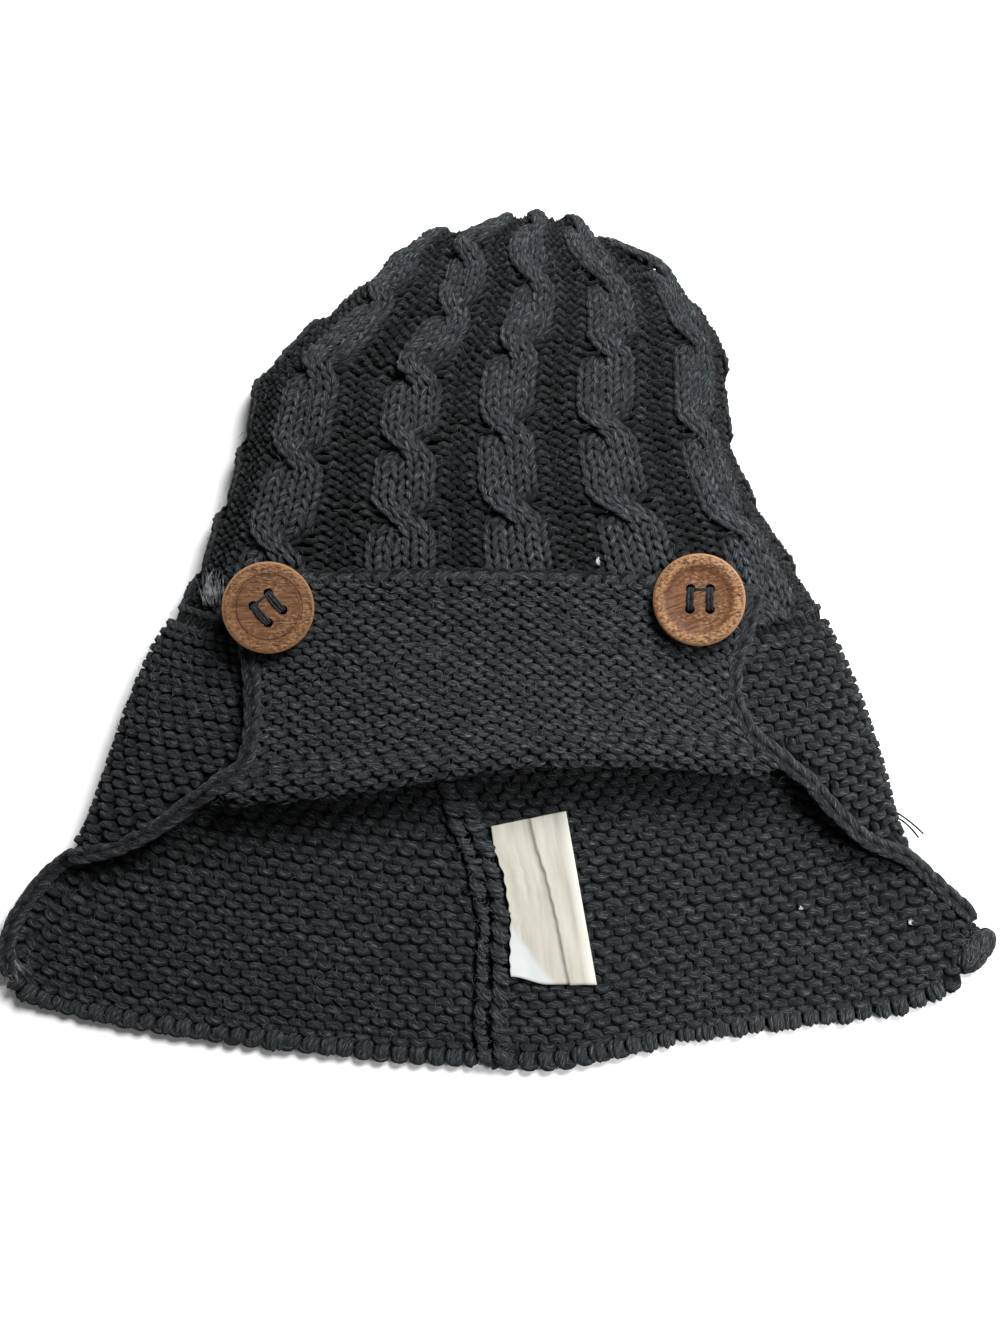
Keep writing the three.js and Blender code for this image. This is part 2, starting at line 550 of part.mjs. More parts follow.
function threadTube(points) {
  const ring = new THREE.Shape();
  for (let i = 0; i < THREAD_SIDES; i += 1) {
    const turn = 2 * Math.PI * i / THREAD_SIDES;
    const x = THREAD_RADIUS * Math.cos(turn);
    const y = THREAD_RADIUS * Math.sin(turn);
    if (i === 0) ring.moveTo(x, y);
    else ring.lineTo(x, y);
  }
  ring.closePath();
  const path = new THREE.CatmullRomCurve3(points);
  const tube = new THREE.ExtrudeGeometry(ring, {
    steps: THREAD_STEPS, bevelEnabled: false, extrudePath: path });
  tube.deleteAttribute("normal");
  tube.deleteAttribute("uv");
  const merged = mergeVertices(tube, 1e-3);
  merged.computeVertexNormals();
  return merged;
}

const [l0, l1, l2, l3] = LEFT_HOLES;
const [r0, r1, r2, r3] = RIGHT_HOLES;
const leftPath = threadPath([[l0, l1], [l3, l2]], thick);
const rightPath = threadPath([[r0, r1], [r3, r2]], thick - DISH.depth);
addPiece("thread_left", threadTube(leftPath).applyMatrix4(leftFrame), 0x202224, 0.95);
addPiece("thread_right", threadTube(rightPath).applyMatrix4(rightFrame), 0x202224, 0.95);

export default part;
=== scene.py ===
import math

import bmesh
import bpy
import numpy as np
from mathutils import Matrix, Vector


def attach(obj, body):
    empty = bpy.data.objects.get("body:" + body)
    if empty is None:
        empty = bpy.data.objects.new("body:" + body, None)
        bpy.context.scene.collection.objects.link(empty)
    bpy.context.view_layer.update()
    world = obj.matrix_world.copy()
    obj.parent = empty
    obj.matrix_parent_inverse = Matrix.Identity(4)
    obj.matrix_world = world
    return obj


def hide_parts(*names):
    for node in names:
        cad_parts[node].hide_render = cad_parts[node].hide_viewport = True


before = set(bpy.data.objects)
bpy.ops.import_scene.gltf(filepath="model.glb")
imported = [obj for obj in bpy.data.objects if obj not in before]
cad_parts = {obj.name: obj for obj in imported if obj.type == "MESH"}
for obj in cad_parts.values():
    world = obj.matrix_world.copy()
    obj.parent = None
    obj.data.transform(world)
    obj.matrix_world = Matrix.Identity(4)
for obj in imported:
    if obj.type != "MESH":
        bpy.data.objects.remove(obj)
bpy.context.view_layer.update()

# Crown
# A tube of cotton worked in twelve plaited cables with purled gutters between,
# drawn in and gathered at the top. It lies flat, front wall over back wall.
MM = 0.001
TOP = 123.5
BODY_DEPTH = [0, 0.8, 1.9, 2.6, 3.4, 4.3, 5.2, 6.1, 7.0, 7.9, 8.8, 9.7, 10.5, 11.2, 11.9, 12.6,
              13.3, 13.6, 13.8, 14.0, 14.3, 14.7, 15.9]
BODY_LEFT = [9.5, 1.3, -8.4, -18.6, -29.6, -36.8, -45.8, -57.6, -68.4, -71.6, -75.6, -81.8, -88.6,
             -98.9, -106.1, -112.2, -119.0, -124.3, -135.0, -143.5, -151.3, -158.6, -170.0]
BODY_RIGHT = [9.5, 16.8, 23.9, 29.6, 38.2, 49.0, 56.6, 62.6, 64.2, 65.0, 69.5, 78.9, 88.5,
              96.5, 103.7, 109.5, 114.6, 118.4, 126.0, 134.4, 151.0, 167.6, 185.0]
BODY_FOLD = [8.5] * 13 + [8.3, 8.0, 7.8, 7.4, 6.8, 5.2, 4.0, 3.2, 2.8, 2.6]
BODY_CREST = [8.5, 11.5, 15.5, 18.0, 20.5, 23.5, 26.5, 29.5, 32.0, 34.0, 35.5, 35.0, 32.8,
              30.8, 28.6, 26.2, 22.5, 17.0, 12.5, 10.0, 8.0, 7.0, 6.0]
DENT_X, DENT_Y = (-33.0, -14.0, -52.0), (77.0, 108.0, 92.0)
DENT_DEPTH, DENT_WIDE, DENT_TALL = (5.0, 3.0, 2.0), (9.0, 5.0, 14.0), (7.0, 12.0, 8.0)
CROWN_WALL = 4.0
GARTER_WALL = 4.8
JOIN_GAP = 0.55
TIP_BACK, TIP_SPAN = 32.0, 50.0
JOIN_SIDE, JOIN_DROP = 8.6, 12.0
CORNER_FROM, CORNER_REACH, CORNER_RISE = 136, 12, 5.0
CABLE_ANGLES = [30, 61.4, 86, 108.7, 139.6, 183, 212, 241, 270, 299, 328, 354]
CABLE_REPEAT = 7
CABLE_COUNT = len(CABLE_ANGLES)
CROWN_STITCHES = CABLE_REPEAT * CABLE_COUNT
CROWN_ROW = 2.72
CROSSING_EVERY = [11.0, 8.8, 8.5, 7.75, 9.8, 8, 8, 8, 8, 8, 8, 8]
CROSSING_ROW = [10.5, 5.0, 6.2, 5.4, 9.0, 3.0, 5.0, 5.0, 5.0, 5.0, 5.0, 5.0]
CROSSING_REACH, CROSSING_FADE = 2.1, 1.9
CROSSING_OVER, CROSSING_UNDER = 1.6, -1.9
RIB_HEIGHT, RIB_SINK = 1.25, 0.7
CROWN_YARN = 1.08
KNIT_DEPTH, PURL_DEPTH = 1.05, 1.2


def through(places, values, at):
    """Smooth curve through a table that never overshoots it."""
    xs, ys = np.asarray(places, float), np.asarray(values, float)
    x = np.clip(np.asarray(at, float), xs[0], xs[-1])
    steps = np.diff(ys) / np.diff(xs)
    slopes = np.empty_like(xs)
    slopes[0], slopes[-1] = steps[0], steps[-1]
    before, after = steps[:-1], steps[1:]
    total = np.where(before + after == 0, 1, before + after)
    slopes[1:-1] = np.where(before * after <= 0, 0, 2 * before * after / total)
    i = np.clip(np.searchsorted(xs, x, side="right") - 1, 0, len(xs) - 2)
    span = xs[i + 1] - xs[i]
    t = (x - xs[i]) / span
    return (ys[i] * (1 + 2 * t) * (1 - t) ** 2 + slopes[i] * span * t * (1 - t) ** 2
            + ys[i + 1] * t * t * (3 - 2 * t) - slopes[i + 1] * span * t * t * (1 - t))


def ease(value, start, end):
    t = np.clip((np.asarray(value, float) - start) / (end - start), 0, 1)
    return t * t * (3 - 2 * t)


def unit(v):
    return v / np.maximum(np.linalg.norm(v, axis=-1, keepdims=True), 1e-9)


def mix(a, b, t):
    return a + (b - a) * t


def travelled(path):
    """Length along a path at each of its points."""
    return np.concatenate([[0], np.cumsum(np.linalg.norm(np.diff(path, axis=0), axis=1))])


def section(y):
    depth = np.sqrt(np.maximum(0, TOP - y))
    left, right = through(BODY_DEPTH, BODY_LEFT, depth), through(BODY_DEPTH, BODY_RIGHT, depth)
    return ((left + right) / 2, (right - left) / 2, through(BODY_DEPTH, BODY_FOLD, depth),
            through(BODY_DEPTH, BODY_CREST, depth), np.minimum(1, depth / 2))


def body(angle, y, wall):
    """Middle of the knit wall: angle 90 is the front, 180 the left fold, 270 the back."""
    centre, half, fold, crest, close = section(y)
    cosine, sine = np.cos(np.radians(angle)), np.sin(np.radians(angle))
    x, away = centre + half * cosine, np.abs(sine)
    dents = zip(DENT_X, DENT_Y, DENT_DEPTH, DENT_WIDE, DENT_TALL)
    dent = sum(deep * np.exp(-((x - middle) / wide) ** 2 - ((y - height) / tall) ** 2)
               for middle, height, deep, wide, tall in dents)
    front = fold + (crest - fold) * away ** 0.5 - dent * away
    back = fold - (fold - wall / 2) * close * away ** 0.45
    back = back + CORNER_RISE * (np.maximum(0, np.abs(x) - CORNER_FROM) / CORNER_REACH) ** 2
    return np.stack(np.broadcast_arrays(x, y, np.where(sine < 0, back, front)), -1)


def dip(angle):
    """Drop of a line across the cloth: 1 in the middle, 0 at the side folds."""
    cosine = np.abs(np.cos(np.radians(angle)))
    return 1 - 0.7 * cosine - 0.3 * cosine ** 4


def join_line(angle):
    return JOIN_SIDE - JOIN_DROP * dip(angle)


def crown_point(phi, psi):
    tilt = np.radians(TIP_BACK * (1 - ease(psi, 0, TIP_SPAN)))
    phi, psi = np.radians(phi), np.radians(psi)
    across, up, out = np.sin(psi) * np.cos(phi), np.cos(psi), np.sin(psi) * np.sin(phi)
    height = up * np.cos(tilt) + out * np.sin(tilt)
    angle = np.degrees(np.arctan2(out * np.cos(tilt) - up * np.sin(tilt), across))
    base = join_line(angle) + JOIN_GAP
    return body(angle, base + (TOP - base) * height, CROWN_WALL)


class Cloth:
    """A knit wall as a fine grid, read at any stitch across and row along."""

    def __init__(self, points, first, step, ring=False):
        self.points, self.first, self.step, self.ring = points, first, step, ring
        wide = np.concatenate([points[:, -2:-1], points, points[:, 1:2]], 1) if ring else points
        across, along = np.gradient(wide, axis=1), np.gradient(wide, axis=0)
        normals = unit(np.cross(across, along))
        self.normals = normals[:, 1:-1] if ring else normals

    def at(self, across, along):
        u = (np.asarray(across, float) - self.first[0]) / self.step[0]
        v = (np.asarray(along, float) - self.first[1]) / self.step[1]
        rows, columns = self.points.shape[:2]
        u = np.mod(u, columns - 1) if self.ring else np.clip(u, 0, columns - 1.001)
        v = np.clip(v, 0, rows - 1.001)
        i, j = np.floor(u).astype(int), np.floor(v).astype(int)
        i = np.minimum(i, columns - 2)
        a, b = (u - i)[..., None], (v - j)[..., None]

        def read(grid):
            return (grid[j, i] * (1 - a) * (1 - b) + grid[j, i + 1] * a * (1 - b)
                    + grid[j + 1, i] * (1 - a) * b + grid[j + 1, i + 1] * a * b)
        return read(self.points), unit(read(self.normals))


class Skein:
    """Lengths of yarn gathered into one mesh, each a closed tube."""

    def __init__(self, sides=5, floor=0.04):
        self.sides, self.floor = sides, floor
        self.spots, self.faces, self.lengthwise, self.shade_heights = [], [], [], []
        self.count = 0

    def add(self, path, normals, radius, shade_level=0.0, start=0.0, facing=1.0):
        n, sides = len(path), self.sides
        run = unit(np.gradient(path, axis=0))
        side = unit(np.cross(run, normals))
        rise = np.cross(side, run)
        turn = math.pi / 2 + np.arange(sides) * 2 * math.pi / sides
        radius = np.broadcast_to(np.asarray(radius, float), (n,))
        ring = (np.cos(turn)[None, :, None] * side[:, None]
                + np.sin(turn)[None, :, None] * rise[:, None])
        spots = path[:, None] + ring * radius[:, None, None]
        spots[..., 2] = np.maximum(spots[..., 2], self.floor)
        length = start + travelled(path)
        k, s = np.meshgrid(np.arange(n - 1), np.arange(sides), indexing="ij")
        k, s = k.ravel(), s.ravel()
        t = (s + 1) % sides
        quads = np.stack([k * sides + s, (k + 1) * sides + s, (k + 1) * sides + t, k * sides + t], 1)
        self.faces.extend((quads + self.count).tolist())
        low, high = s / sides, (s + 1) / sides
        around = np.stack([low, low, high, high], 1)
        along = np.stack([length[k], length[k + 1], length[k + 1], length[k]], 1)
        self.lengthwise.append(np.stack([along, around], -1).reshape(-1, 2))
        for ends, base in ((range(sides), 0), (range(sides - 1, -1, -1), (n - 1) * sides)):
            self.faces.append([self.count + base + e for e in ends])
            self.lengthwise.append(np.full((sides, 2), (length[0] if base == 0 else length[-1], 0.0)))
        self.spots.append(spots.reshape(-1, 3))
        shade_level, facing = (np.broadcast_to(np.asarray(v, float), (n,))[:, None] for v in (shade_level, facing))
        # Painted shade: each point's height below the top of the yarn, from the level given and the side of
        # the tube it is on, so the finish can paint the yarn darker the lower it lies.
        self.shade_heights.append((shade_level + radius[:, None] * (facing * np.sin(turn)[None, :] - 1)).ravel())
        self.count += n * sides

    def knit(self, name, material, nodes, slot):
        mesh = bpy.data.meshes.new(name)
        mesh.from_pydata((np.concatenate(self.spots) * MM).tolist(), [], self.faces)
        mesh.uv_layers.new(name="yarn")
        mesh.uv_layers["yarn"].data.foreach_set(
            "uv", np.concatenate(self.lengthwise).astype(np.float32).ravel())
        # Stored for the painted shade in the yarn finish.
        height = mesh.attributes.new("height", "FLOAT", "POINT")
        height.data.foreach_set("value", np.concatenate(self.shade_heights).astype(np.float32))
        mesh.shade_smooth()
        place(name, mesh, material, nodes)


def stand(name, data):
    """A new object in the scene, at the origin."""
    thing = bpy.data.objects.new(name, data)
    bpy.context.scene.collection.objects.link(thing)
    return thing


def place(name, mesh, material, nodes):
    """A mesh as a piece of the hat that stands for CAD nodes."""
    piece = stand(name, mesh)
    mesh.materials.clear()
    mesh.materials.append(material)
    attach(piece, "root")
    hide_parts(*nodes)
    return piece


class Number:
    """A number in a material: written as sums, it adds its own maths nodes."""

    def __init__(self, finish, socket):
        self.finish, self.socket = finish, socket

    def maths(self, operation, *values):
        node = self.finish.node("ShaderNodeMath", {"operation": operation},
                                dict(enumerate(values)))
        return Number(self.finish, node.outputs[0])

    def __add__(self, other):
        return self.maths("ADD", self, other)

    def __sub__(self, other):
        return self.maths("SUBTRACT", self, other)

    def __rsub__(self, other):
        return self.maths("SUBTRACT", other, self)

    def __mul__(self, other):
        return self.maths("MULTIPLY", self, other)

    def __truediv__(self, other):
        return self.maths("DIVIDE", self, other)

    def wave(self):
        return self.maths("SINE", self)

    def root(self):
        return self.maths("SQRT", self)

    def between(self, low, high):
        """0 up to low, 1 from high on."""
        share = (self - low) / (high - low)
        return self.maths("MINIMUM", self.maths("MAXIMUM", share, 0.0), 1.0)


class Finish:
    """One material, with a method that adds any node to it."""

    def __init__(self, name, **constants):
        self.material = bpy.data.materials.new(name)
        self.material.use_nodes = True
        self.tree = self.material.node_tree
        self.surface = self.tree.nodes["Principled BSDF"]
        for socket, value in constants.items():
            self.surface.inputs[socket.replace("_", " ")].default_value = value

    def node(self, kind, settings, inputs):
        node = self.tree.nodes.new(kind)
        for key, value in settings.items():
            setattr(node, key, value)
        for key, value in inputs.items():
            socket = value.socket if isinstance(value, Number) else value
            if isinstance(socket, bpy.types.NodeSocket):
                self.tree.links.new(socket, node.inputs[key])
            else:
                node.inputs[key].default_value = socket
        return node

    def number(self, kind, settings, inputs, output=0):
        return Number(self, self.node(kind, settings, inputs).outputs[output])

    def noise(self, vector, scale, detail=2.0, roughness=0.5):
        return self.number("ShaderNodeTexNoise", {}, {
            "Vector": vector, "Scale": scale, "Detail": detail, "Roughness": roughness})

    def colour(self, factor, a, b):
        node = self.node("ShaderNodeMix", {"data_type": "RGBA"}, {0: factor, 6: a, 7: b})
        return node.outputs[2]

    def vector(self, x, y, z):
        return self.node("ShaderNodeCombineXYZ", {}, {0: x, 1: y, 2: z}).outputs[0]

    def split(self, vector):
        parts = self.node("ShaderNodeSeparateXYZ", {}, {0: vector})
        return [Number(self, parts.outputs[i]) for i in range(3)]

    def place(self):
        return self.node("ShaderNodeTexCoord", {}, {}).outputs["Object"]

    def link(self, socket, value):
        value = value.socket if isinstance(value, Number) else value
        self.tree.links.new(value, self.surface.inputs[socket])

    def bump(self, height, strength, distance):
        node = self.node("ShaderNodeBump", {}, {
            "Height": height, "Strength": strength, "Distance": distance})
        self.link("Normal", node.outputs[0])


YARN_DARK = (0.0060, 0.0079, 0.0090, 1)
YARN_MID = (0.030, 0.0365, 0.041, 1)
YARN_PALE = (0.230, 0.255, 0.270, 1)
YARN_WARM = (0.038, 0.035, 0.038, 1)
# Near black: the painted shade in the deepest gaps between the loops.
YARN_PAINTED_SHADE = (0.0020, 0.0024, 0.0028, 1)
YARN_TWIST = 0.60


def tinted(colour, value):
    return [value * v for v in colour[:3]] + [1]


# value scales the mid and pale colours. The one yarn is given as darker copies for the band, the flap and
# the edges than for the crown: painted shade.
def yarn_finish(name, tone=1.0, radius=CROWN_YARN, value=1.0):
    """Soft cotton in heathered charcoal: twisted fibres, some of them pale."""
    finish = Finish(name, Roughness=1.0, Sheen_Weight=0.05, Sheen_Roughness=0.6,
                    Specular_IOR_Level=0.02)
    uv = finish.node("ShaderNodeUVMap", {"uv_map": "yarn"}, {}).outputs[0]
    length, around, _ = finish.split(uv)
    turn = (around + length * (YARN_TWIST / (2 * math.pi * radius))) * (2 * math.pi)
    sine, cosine = turn.wave(), (turn + math.pi / 2).wave()
    coarse = finish.noise(finish.vector(sine, cosine, length * 0.30), 1.35, 2.0, 0.6)
    fine = finish.noise(finish.vector(sine, cosine, length * 0.12), 4.2, 2.0, 0.6)
    ply = (turn * 2).wave() * 0.5 + 0.5
    patch = finish.noise(finish.place(), 190.0, 2.0)
    wool = finish.noise(finish.place(), 95.0, 1.0)
    height = finish.number("ShaderNodeAttribute", {"attribute_name": "height"}, {}, "Fac")
    streak = coarse.between(0.36, 0.64) * 0.60 + ply * 0.14 + patch.between(0.32, 0.68) * 0.26
    mid = finish.colour(wool.between(0.45, 0.62) * 0.6, tinted(YARN_MID, value), tinted(YARN_WARM, value))
    shade = finish.colour(streak, YARN_DARK, mid)
    shade = finish.colour(fine.between(0.53, 0.69) * 0.62 * tone, shade, tinted(YARN_PALE, value))
    # Painted shade: the yarn goes to near black the lower a point lies, in the gaps between loops and down
    # the flanks of each tube.
    shade = finish.colour(height.between(-1.6, -0.08) * 0.95 + 0.05, YARN_PAINTED_SHADE, shade)
    finish.link("Base Color", shade)
    finish.bump(coarse * 0.5 + fine * 0.6 + ply * 0.3, 1.0, 0.0006)
    return finish.material


def crown_rows():
    angles = np.linspace(90, 5, 400)
    path = crown_point(np.full(400, 90.0), angles)
    return travelled(path), angles


run, psi_table = crown_rows()
CROWN_ROWS = int(run[-1] / CROWN_ROW)
knots = np.array([2 + CABLE_REPEAT * (i - 1) for i in range(CABLE_COUNT + 3)])
knot_angles = [CABLE_ANGLES[-1] - 360] + CABLE_ANGLES + [a + 360 for a in CABLE_ANGLES[:2]]
grid_w = np.arange(0, CROWN_STITCHES + 0.01, 0.25)
grid_r = np.arange(-1, CROWN_ROWS + 1.01, 0.5)
phi = through(knots, knot_angles, grid_w)
psi = np.interp(grid_r * CROWN_ROW, run, psi_table)
psi = psi + np.where(grid_r < 0, -grid_r, 0) * 1.2
crown_cloth = Cloth(crown_point(phi[None, :], psi[:, None])[:, ::-1], (0, -1), (0.25, 0.5), ring=True)
random = np.random.default_rng(7)


def cable_shape(stitch, row, along):
    """Sideways shift in stitches and lift in mm that plait four knit stitches two over two."""
    column = np.mod(stitch, CABLE_REPEAT)
    cable = np.mod(np.floor(stitch / CABLE_REPEAT).astype(int), CABLE_COUNT)
    phase, every = np.asarray(CROSSING_ROW)[cable], np.asarray(CROSSING_EVERY)[cable]
    here = np.mod(row - phase + every / 2, every) - every / 2
    at = here + (along - row)
    swap = ease(at, -CROSSING_REACH, CROSSING_REACH)
    move = np.where(here < 0, 2 * swap, 2 * (1 - swap))
    side = np.interp(column, [0, 0.25, 1.75, 2.25, 3.75, 4, 5.5, 7], [0.45, 1, 1, -1, -1, -0.45, 0, 0.45])
    over = np.where(here < 0, column < 2, column > 2)
    knit = np.interp(column, [0, 0.2, 3.8, 4, 4.2, 6.8, 7], [0, 1, 1, 0, -1, -1, 0])
    rib = np.interp(column, [0, 0.5, 3.5, 4, 5, 6, 7], [0.4, 1, 1, 0.4, -0.9, -0.9, 0.4])
    strand = np.where(column < 2, column - 1, column - 3)
    near = np.exp(-(at / CROSSING_FADE) ** 2)
    swell = np.where(over, CROSSING_OVER, CROSSING_UNDER) * near - 0.35 * strand ** 2
    lift = RIB_HEIGHT * rib - RIB_SINK + np.where((column > 0) & (column < 4), swell, 0)
    return side * move, lift, knit


def unevenness(loop, first, last, ways=3):
    """Small differences from loop to loop."""
    places = np.arange(first, last + 2)
    return [np.interp(loop, places, random.normal(0, 1, len(places))) for _ in range(ways)]


def crescent(t):
    """Height of a loop along its column: a flat head, then steep legs."""
    return 1.1 * np.cos(t) - 0.1 * np.cos(3 * t)


def crown_knit(name, first, last, samples, sides):
    skein = Skein(sides)
    turns = np.arange(-math.pi, math.pi - 1e-6, 2 * math.pi / samples)
    for row in range(CROWN_ROWS):
        t = np.append(np.tile(turns, last - first), -math.pi)
        stitch = np.append(np.repeat(np.arange(first, last), samples), last)
        base = stitch + 0.5 + t / (2 * math.pi)
        full, aside, raised = unevenness(base + 0.5, first, last + 1)
        plain = np.interp(np.mod(base, CABLE_REPEAT), [0, 0.2, 3.8, 4.2, 6.8, 7], [0.5, 1, 1, 0, 0, 0.5])
        w = base + mix(0.16, 0.25, plain) * np.sin(2 * t) + 0.04 * aside
        along = row + 0.5 + mix(0.76 * crescent(t), 0.95 * np.cos(t), plain) + 0.07 * raised
        shift, lift, knit = cable_shape(base, row + 0.5, along)
        top = np.clip((CROWN_ROWS - along) / 9, 0.25, 1)
        deep = mix(PURL_DEPTH, KNIT_DEPTH, plain)
        depth = -deep * np.cos(2 * t) * knit
        point, normal = crown_cloth.at(CROWN_STITCHES - (w + shift), along)
        radius = mix(0.94, 0.91, plain) * CROWN_YARN * (1 + 0.08 * full) * (0.45 + 0.55 * top)
        path = point + normal * ((depth + lift * top) + 0.14 * raised)[:, None]
        # Painted shade: the level sinks with the depth of each loop and further in the purled gutters, so
        # these are painted darker.
        shade_level = depth - deep + 0.46 * np.minimum(lift - 0.3, 0)
        skein.add(path, normal, radius, shade_level, start=row * 37.0)
    skein.knit(name, crown_yarn, ["crown"], "crown_knit")


crown_yarn = yarn_finish("crown_knit", 1.0, CROWN_YARN, 1.08)
crown_knit("crown_cables_right", -7, 20, 10, 5)
crown_knit("crown_cables_left", 20, 40, 10, 5)
crown_knit("crown_cables_back", 40, 77, 6, 3)


# Garter band
# Plain garter stitch in the same yarn: ridges of interlocked arcs on both faces.
# The rows run level with the hem and carry on round the side folds as ear flaps.
SEAM_Y = [-122.0, -110.0, -94.6, -81.7, -68.4, -55.9, -42.2, -29.0, -14.0]
SEAM_X = [-2.3, -2.9, -2.3, -2.1, -4.1, -8.8, -13.2, -17.6, -20.6]
EDGE_ANGLE = [-22, -16, -12, -7, -2, 4, 14.7, 22.9, 28.9, 36.5, 40.5, 50.9, 61.5, 72.1, 83.4, 88.9,
              99.6, 106.4, 114.6, 126.0, 132.7, 136.3, 139.9, 151.7, 156.9, 163.4, 172, 180, 187,
              192.3, 195.9, 197.6, 199.4, 202.7, 204.9, 207.9, 212.4, 220.3, 231.9, 251.9, 262.3,
              272, 279.6, 285.0, 295.5, 309.4, 315.8, 319.5, 322.8, 326.5, 330.7, 335, 338, 344, 348]
EDGE_Y = [-81.5, -76, -73, -69, -65.5, -63.2, -60.7, -57.9, -52.0, -40.6, -33.8, -31.2, -29.3,
          -28.7, -28.4, -29.5, -32.1, -34.7, -37.0, -38.2, -38.6, -40.4, -47.0, -58.6, -60.7,
          -62.0, -62.6, -63.2, -65.8, -68.8, -73.2, -80, -86.5, -95.4, -100.5, -104.8, -107.5,
          -111.3, -115.8, -122.6, -125.3, -126.3, -122.7, -119.7, -115.2, -111.2, -107.2, -103.6,
          -100.0, -95.0, -89.8, -85.2, -81.5, -76, -73]
HEM_ANGLE = [180, 192, 203, 212.4, 220.3, 231.9, 251.9, 262.3, 272, 279.6, 285, 295.5, 309.4,
             319.5, 330, 342, 352, 360]
HEM_Y = [-104, -103, -101.5, -107.5, -111.3, -115.8, -122.6, -125.3, -126.3, -122.8, -120, -115.6,
         -111.8, -108, -105, -104, -104, -104]
FRONT_DROP = 19.6
GARTER_ROWS = 48
GARTER_STITCH = 5.5
GARTER_YARN = 1.33
GARTER_DEPTH = 1.7
EDGE_MARGIN, HEM_MARGIN = 2.4, 3.6
MIDDLE_ROW, FOLD_REACH = 24, 60
UNDER_FLAP = (54.0, -28.0)
HEM_TURNS = (206, 320)
ONE_LOOP = 12
GARTER_ACROSS = np.arange(-38, 38.01, 0.5)
LOOP_HEAD = np.radians([-180, -120, -80, -56, -36, -16, 16, 36, 56, 80, 120])
LOOP_FOOT = np.radians([-180, -164, -144, -124, -100, -60, 0, 60, 100, 124, 144, 164])


def edge_line(angle):
    return through(EDGE_ANGLE, EDGE_Y, np.where(angle > EDGE_ANGLE[-1], angle - 360, angle))


def hem_line(angle):
    front = np.where(angle < 180, HEM_Y[0], HEM_Y[-1]) - FRONT_DROP * dip(angle)
    return np.where((angle < 180) | (angle > 360), front, through(HEM_ANGLE, HEM_Y, angle))


def behind(angle):
    return (angle > 180) & (angle < 360)


def garter_height(angle, row):
    return mix(hem_line(angle), join_line(angle) - JOIN_GAP, row / GARTER_ROWS)


def garter_columns(angles, row):
    """Stitches counted from the back seam, level with a middle row once past the folds."""
    def counted(row):
        path = body(angles, garter_height(angles, row), GARTER_WALL)
        length = travelled(path)
        back = (angles >= 180) & (angles <= 360)
        seam = np.interp(0, path[back, 0] - np.interp(path[back, 1], SEAM_Y, SEAM_X), length[back])
        return (length - seam) / GARTER_STITCH
    own, middle = counted(row), counted(MIDDLE_ROW + 0.5 * max(0, row - MIDDLE_ROW))
    columns = own.copy()
    for fold, front in ((180, angles < 180), (360, angles > 360)):
        at = np.searchsorted(angles, fold)
        fade = 1 - ease(np.abs(angles[front] - fold), 0, FOLD_REACH)
        columns[front] = middle[front] + (own[at] - middle[at]) * fade
    return columns


def garter_cloth():
    angles = np.arange(90, 450.01, 0.5)
    rows = np.arange(-2, GARTER_ROWS + 0.51, 0.5)
    points, turned, ends = [], [], []
    for row in rows:
        columns = garter_columns(angles, row)
        angle = np.interp(GARTER_ACROSS, columns, angles)
        points.append(body(angle, garter_height(angle, row), GARTER_WALL))
        turned.append(angle)
        ends.append((columns[0], columns[-1]))
    cloth = Cloth(np.array(points), (GARTER_ACROSS[0], -2), (0.5, 0.5))
    return cloth, np.array(turned), rows, np.array(ends)


def edge_distance(spots, angle):
    """How far inside the free edge a spot lies, in mm, on its own side of the fold."""
    turns = np.arange(-12, 348, 0.5)
    outline = body(turns, edge_line(turns), GARTER_WALL)
    inside = spots[:, 1] > edge_line(angle)
    gap = np.full(len(spots), 1e9)
    for back in (True, False):
        of_edge = outline[((turns >= 180) | (turns < 0)) == back]
        chosen = ((angle >= 180) & (angle <= 360)) == back
        if chosen.any():
            d = np.linalg.norm(spots[chosen][:, None, :2] - of_edge[None, :, :2], axis=-1)
            gap[chosen] = d.min(1)
    return np.where(inside, gap, -gap)


def garter_path(cloth, across, row, t, uneven, depth):
    """One row of loops; even rows reach forward at the head, odd rows at the foot."""
    full, aside, raised = uneven
    side = 1 if row % 2 == 0 else -1
    lift = side * depth * (np.cos(t) + 0.12 * np.cos(3 * t)) / 1.12
    point, normal = cloth.at(across + 0.15 * np.sin(2 * t) + 0.05 * aside,
                             row + 0.5 + 1.03 * crescent(t) + 0.09 * raised)
    return point + normal * (lift + 0.16 * full)[:, None], normal, lift


garter, garter_turn, garter_rows, garter_ends = garter_cloth()
# A much darker copy of the crown's yarn: painted shade on the band.
garter_yarn = yarn_finish("garter_knit", 1.1, GARTER_YARN, 0.60)


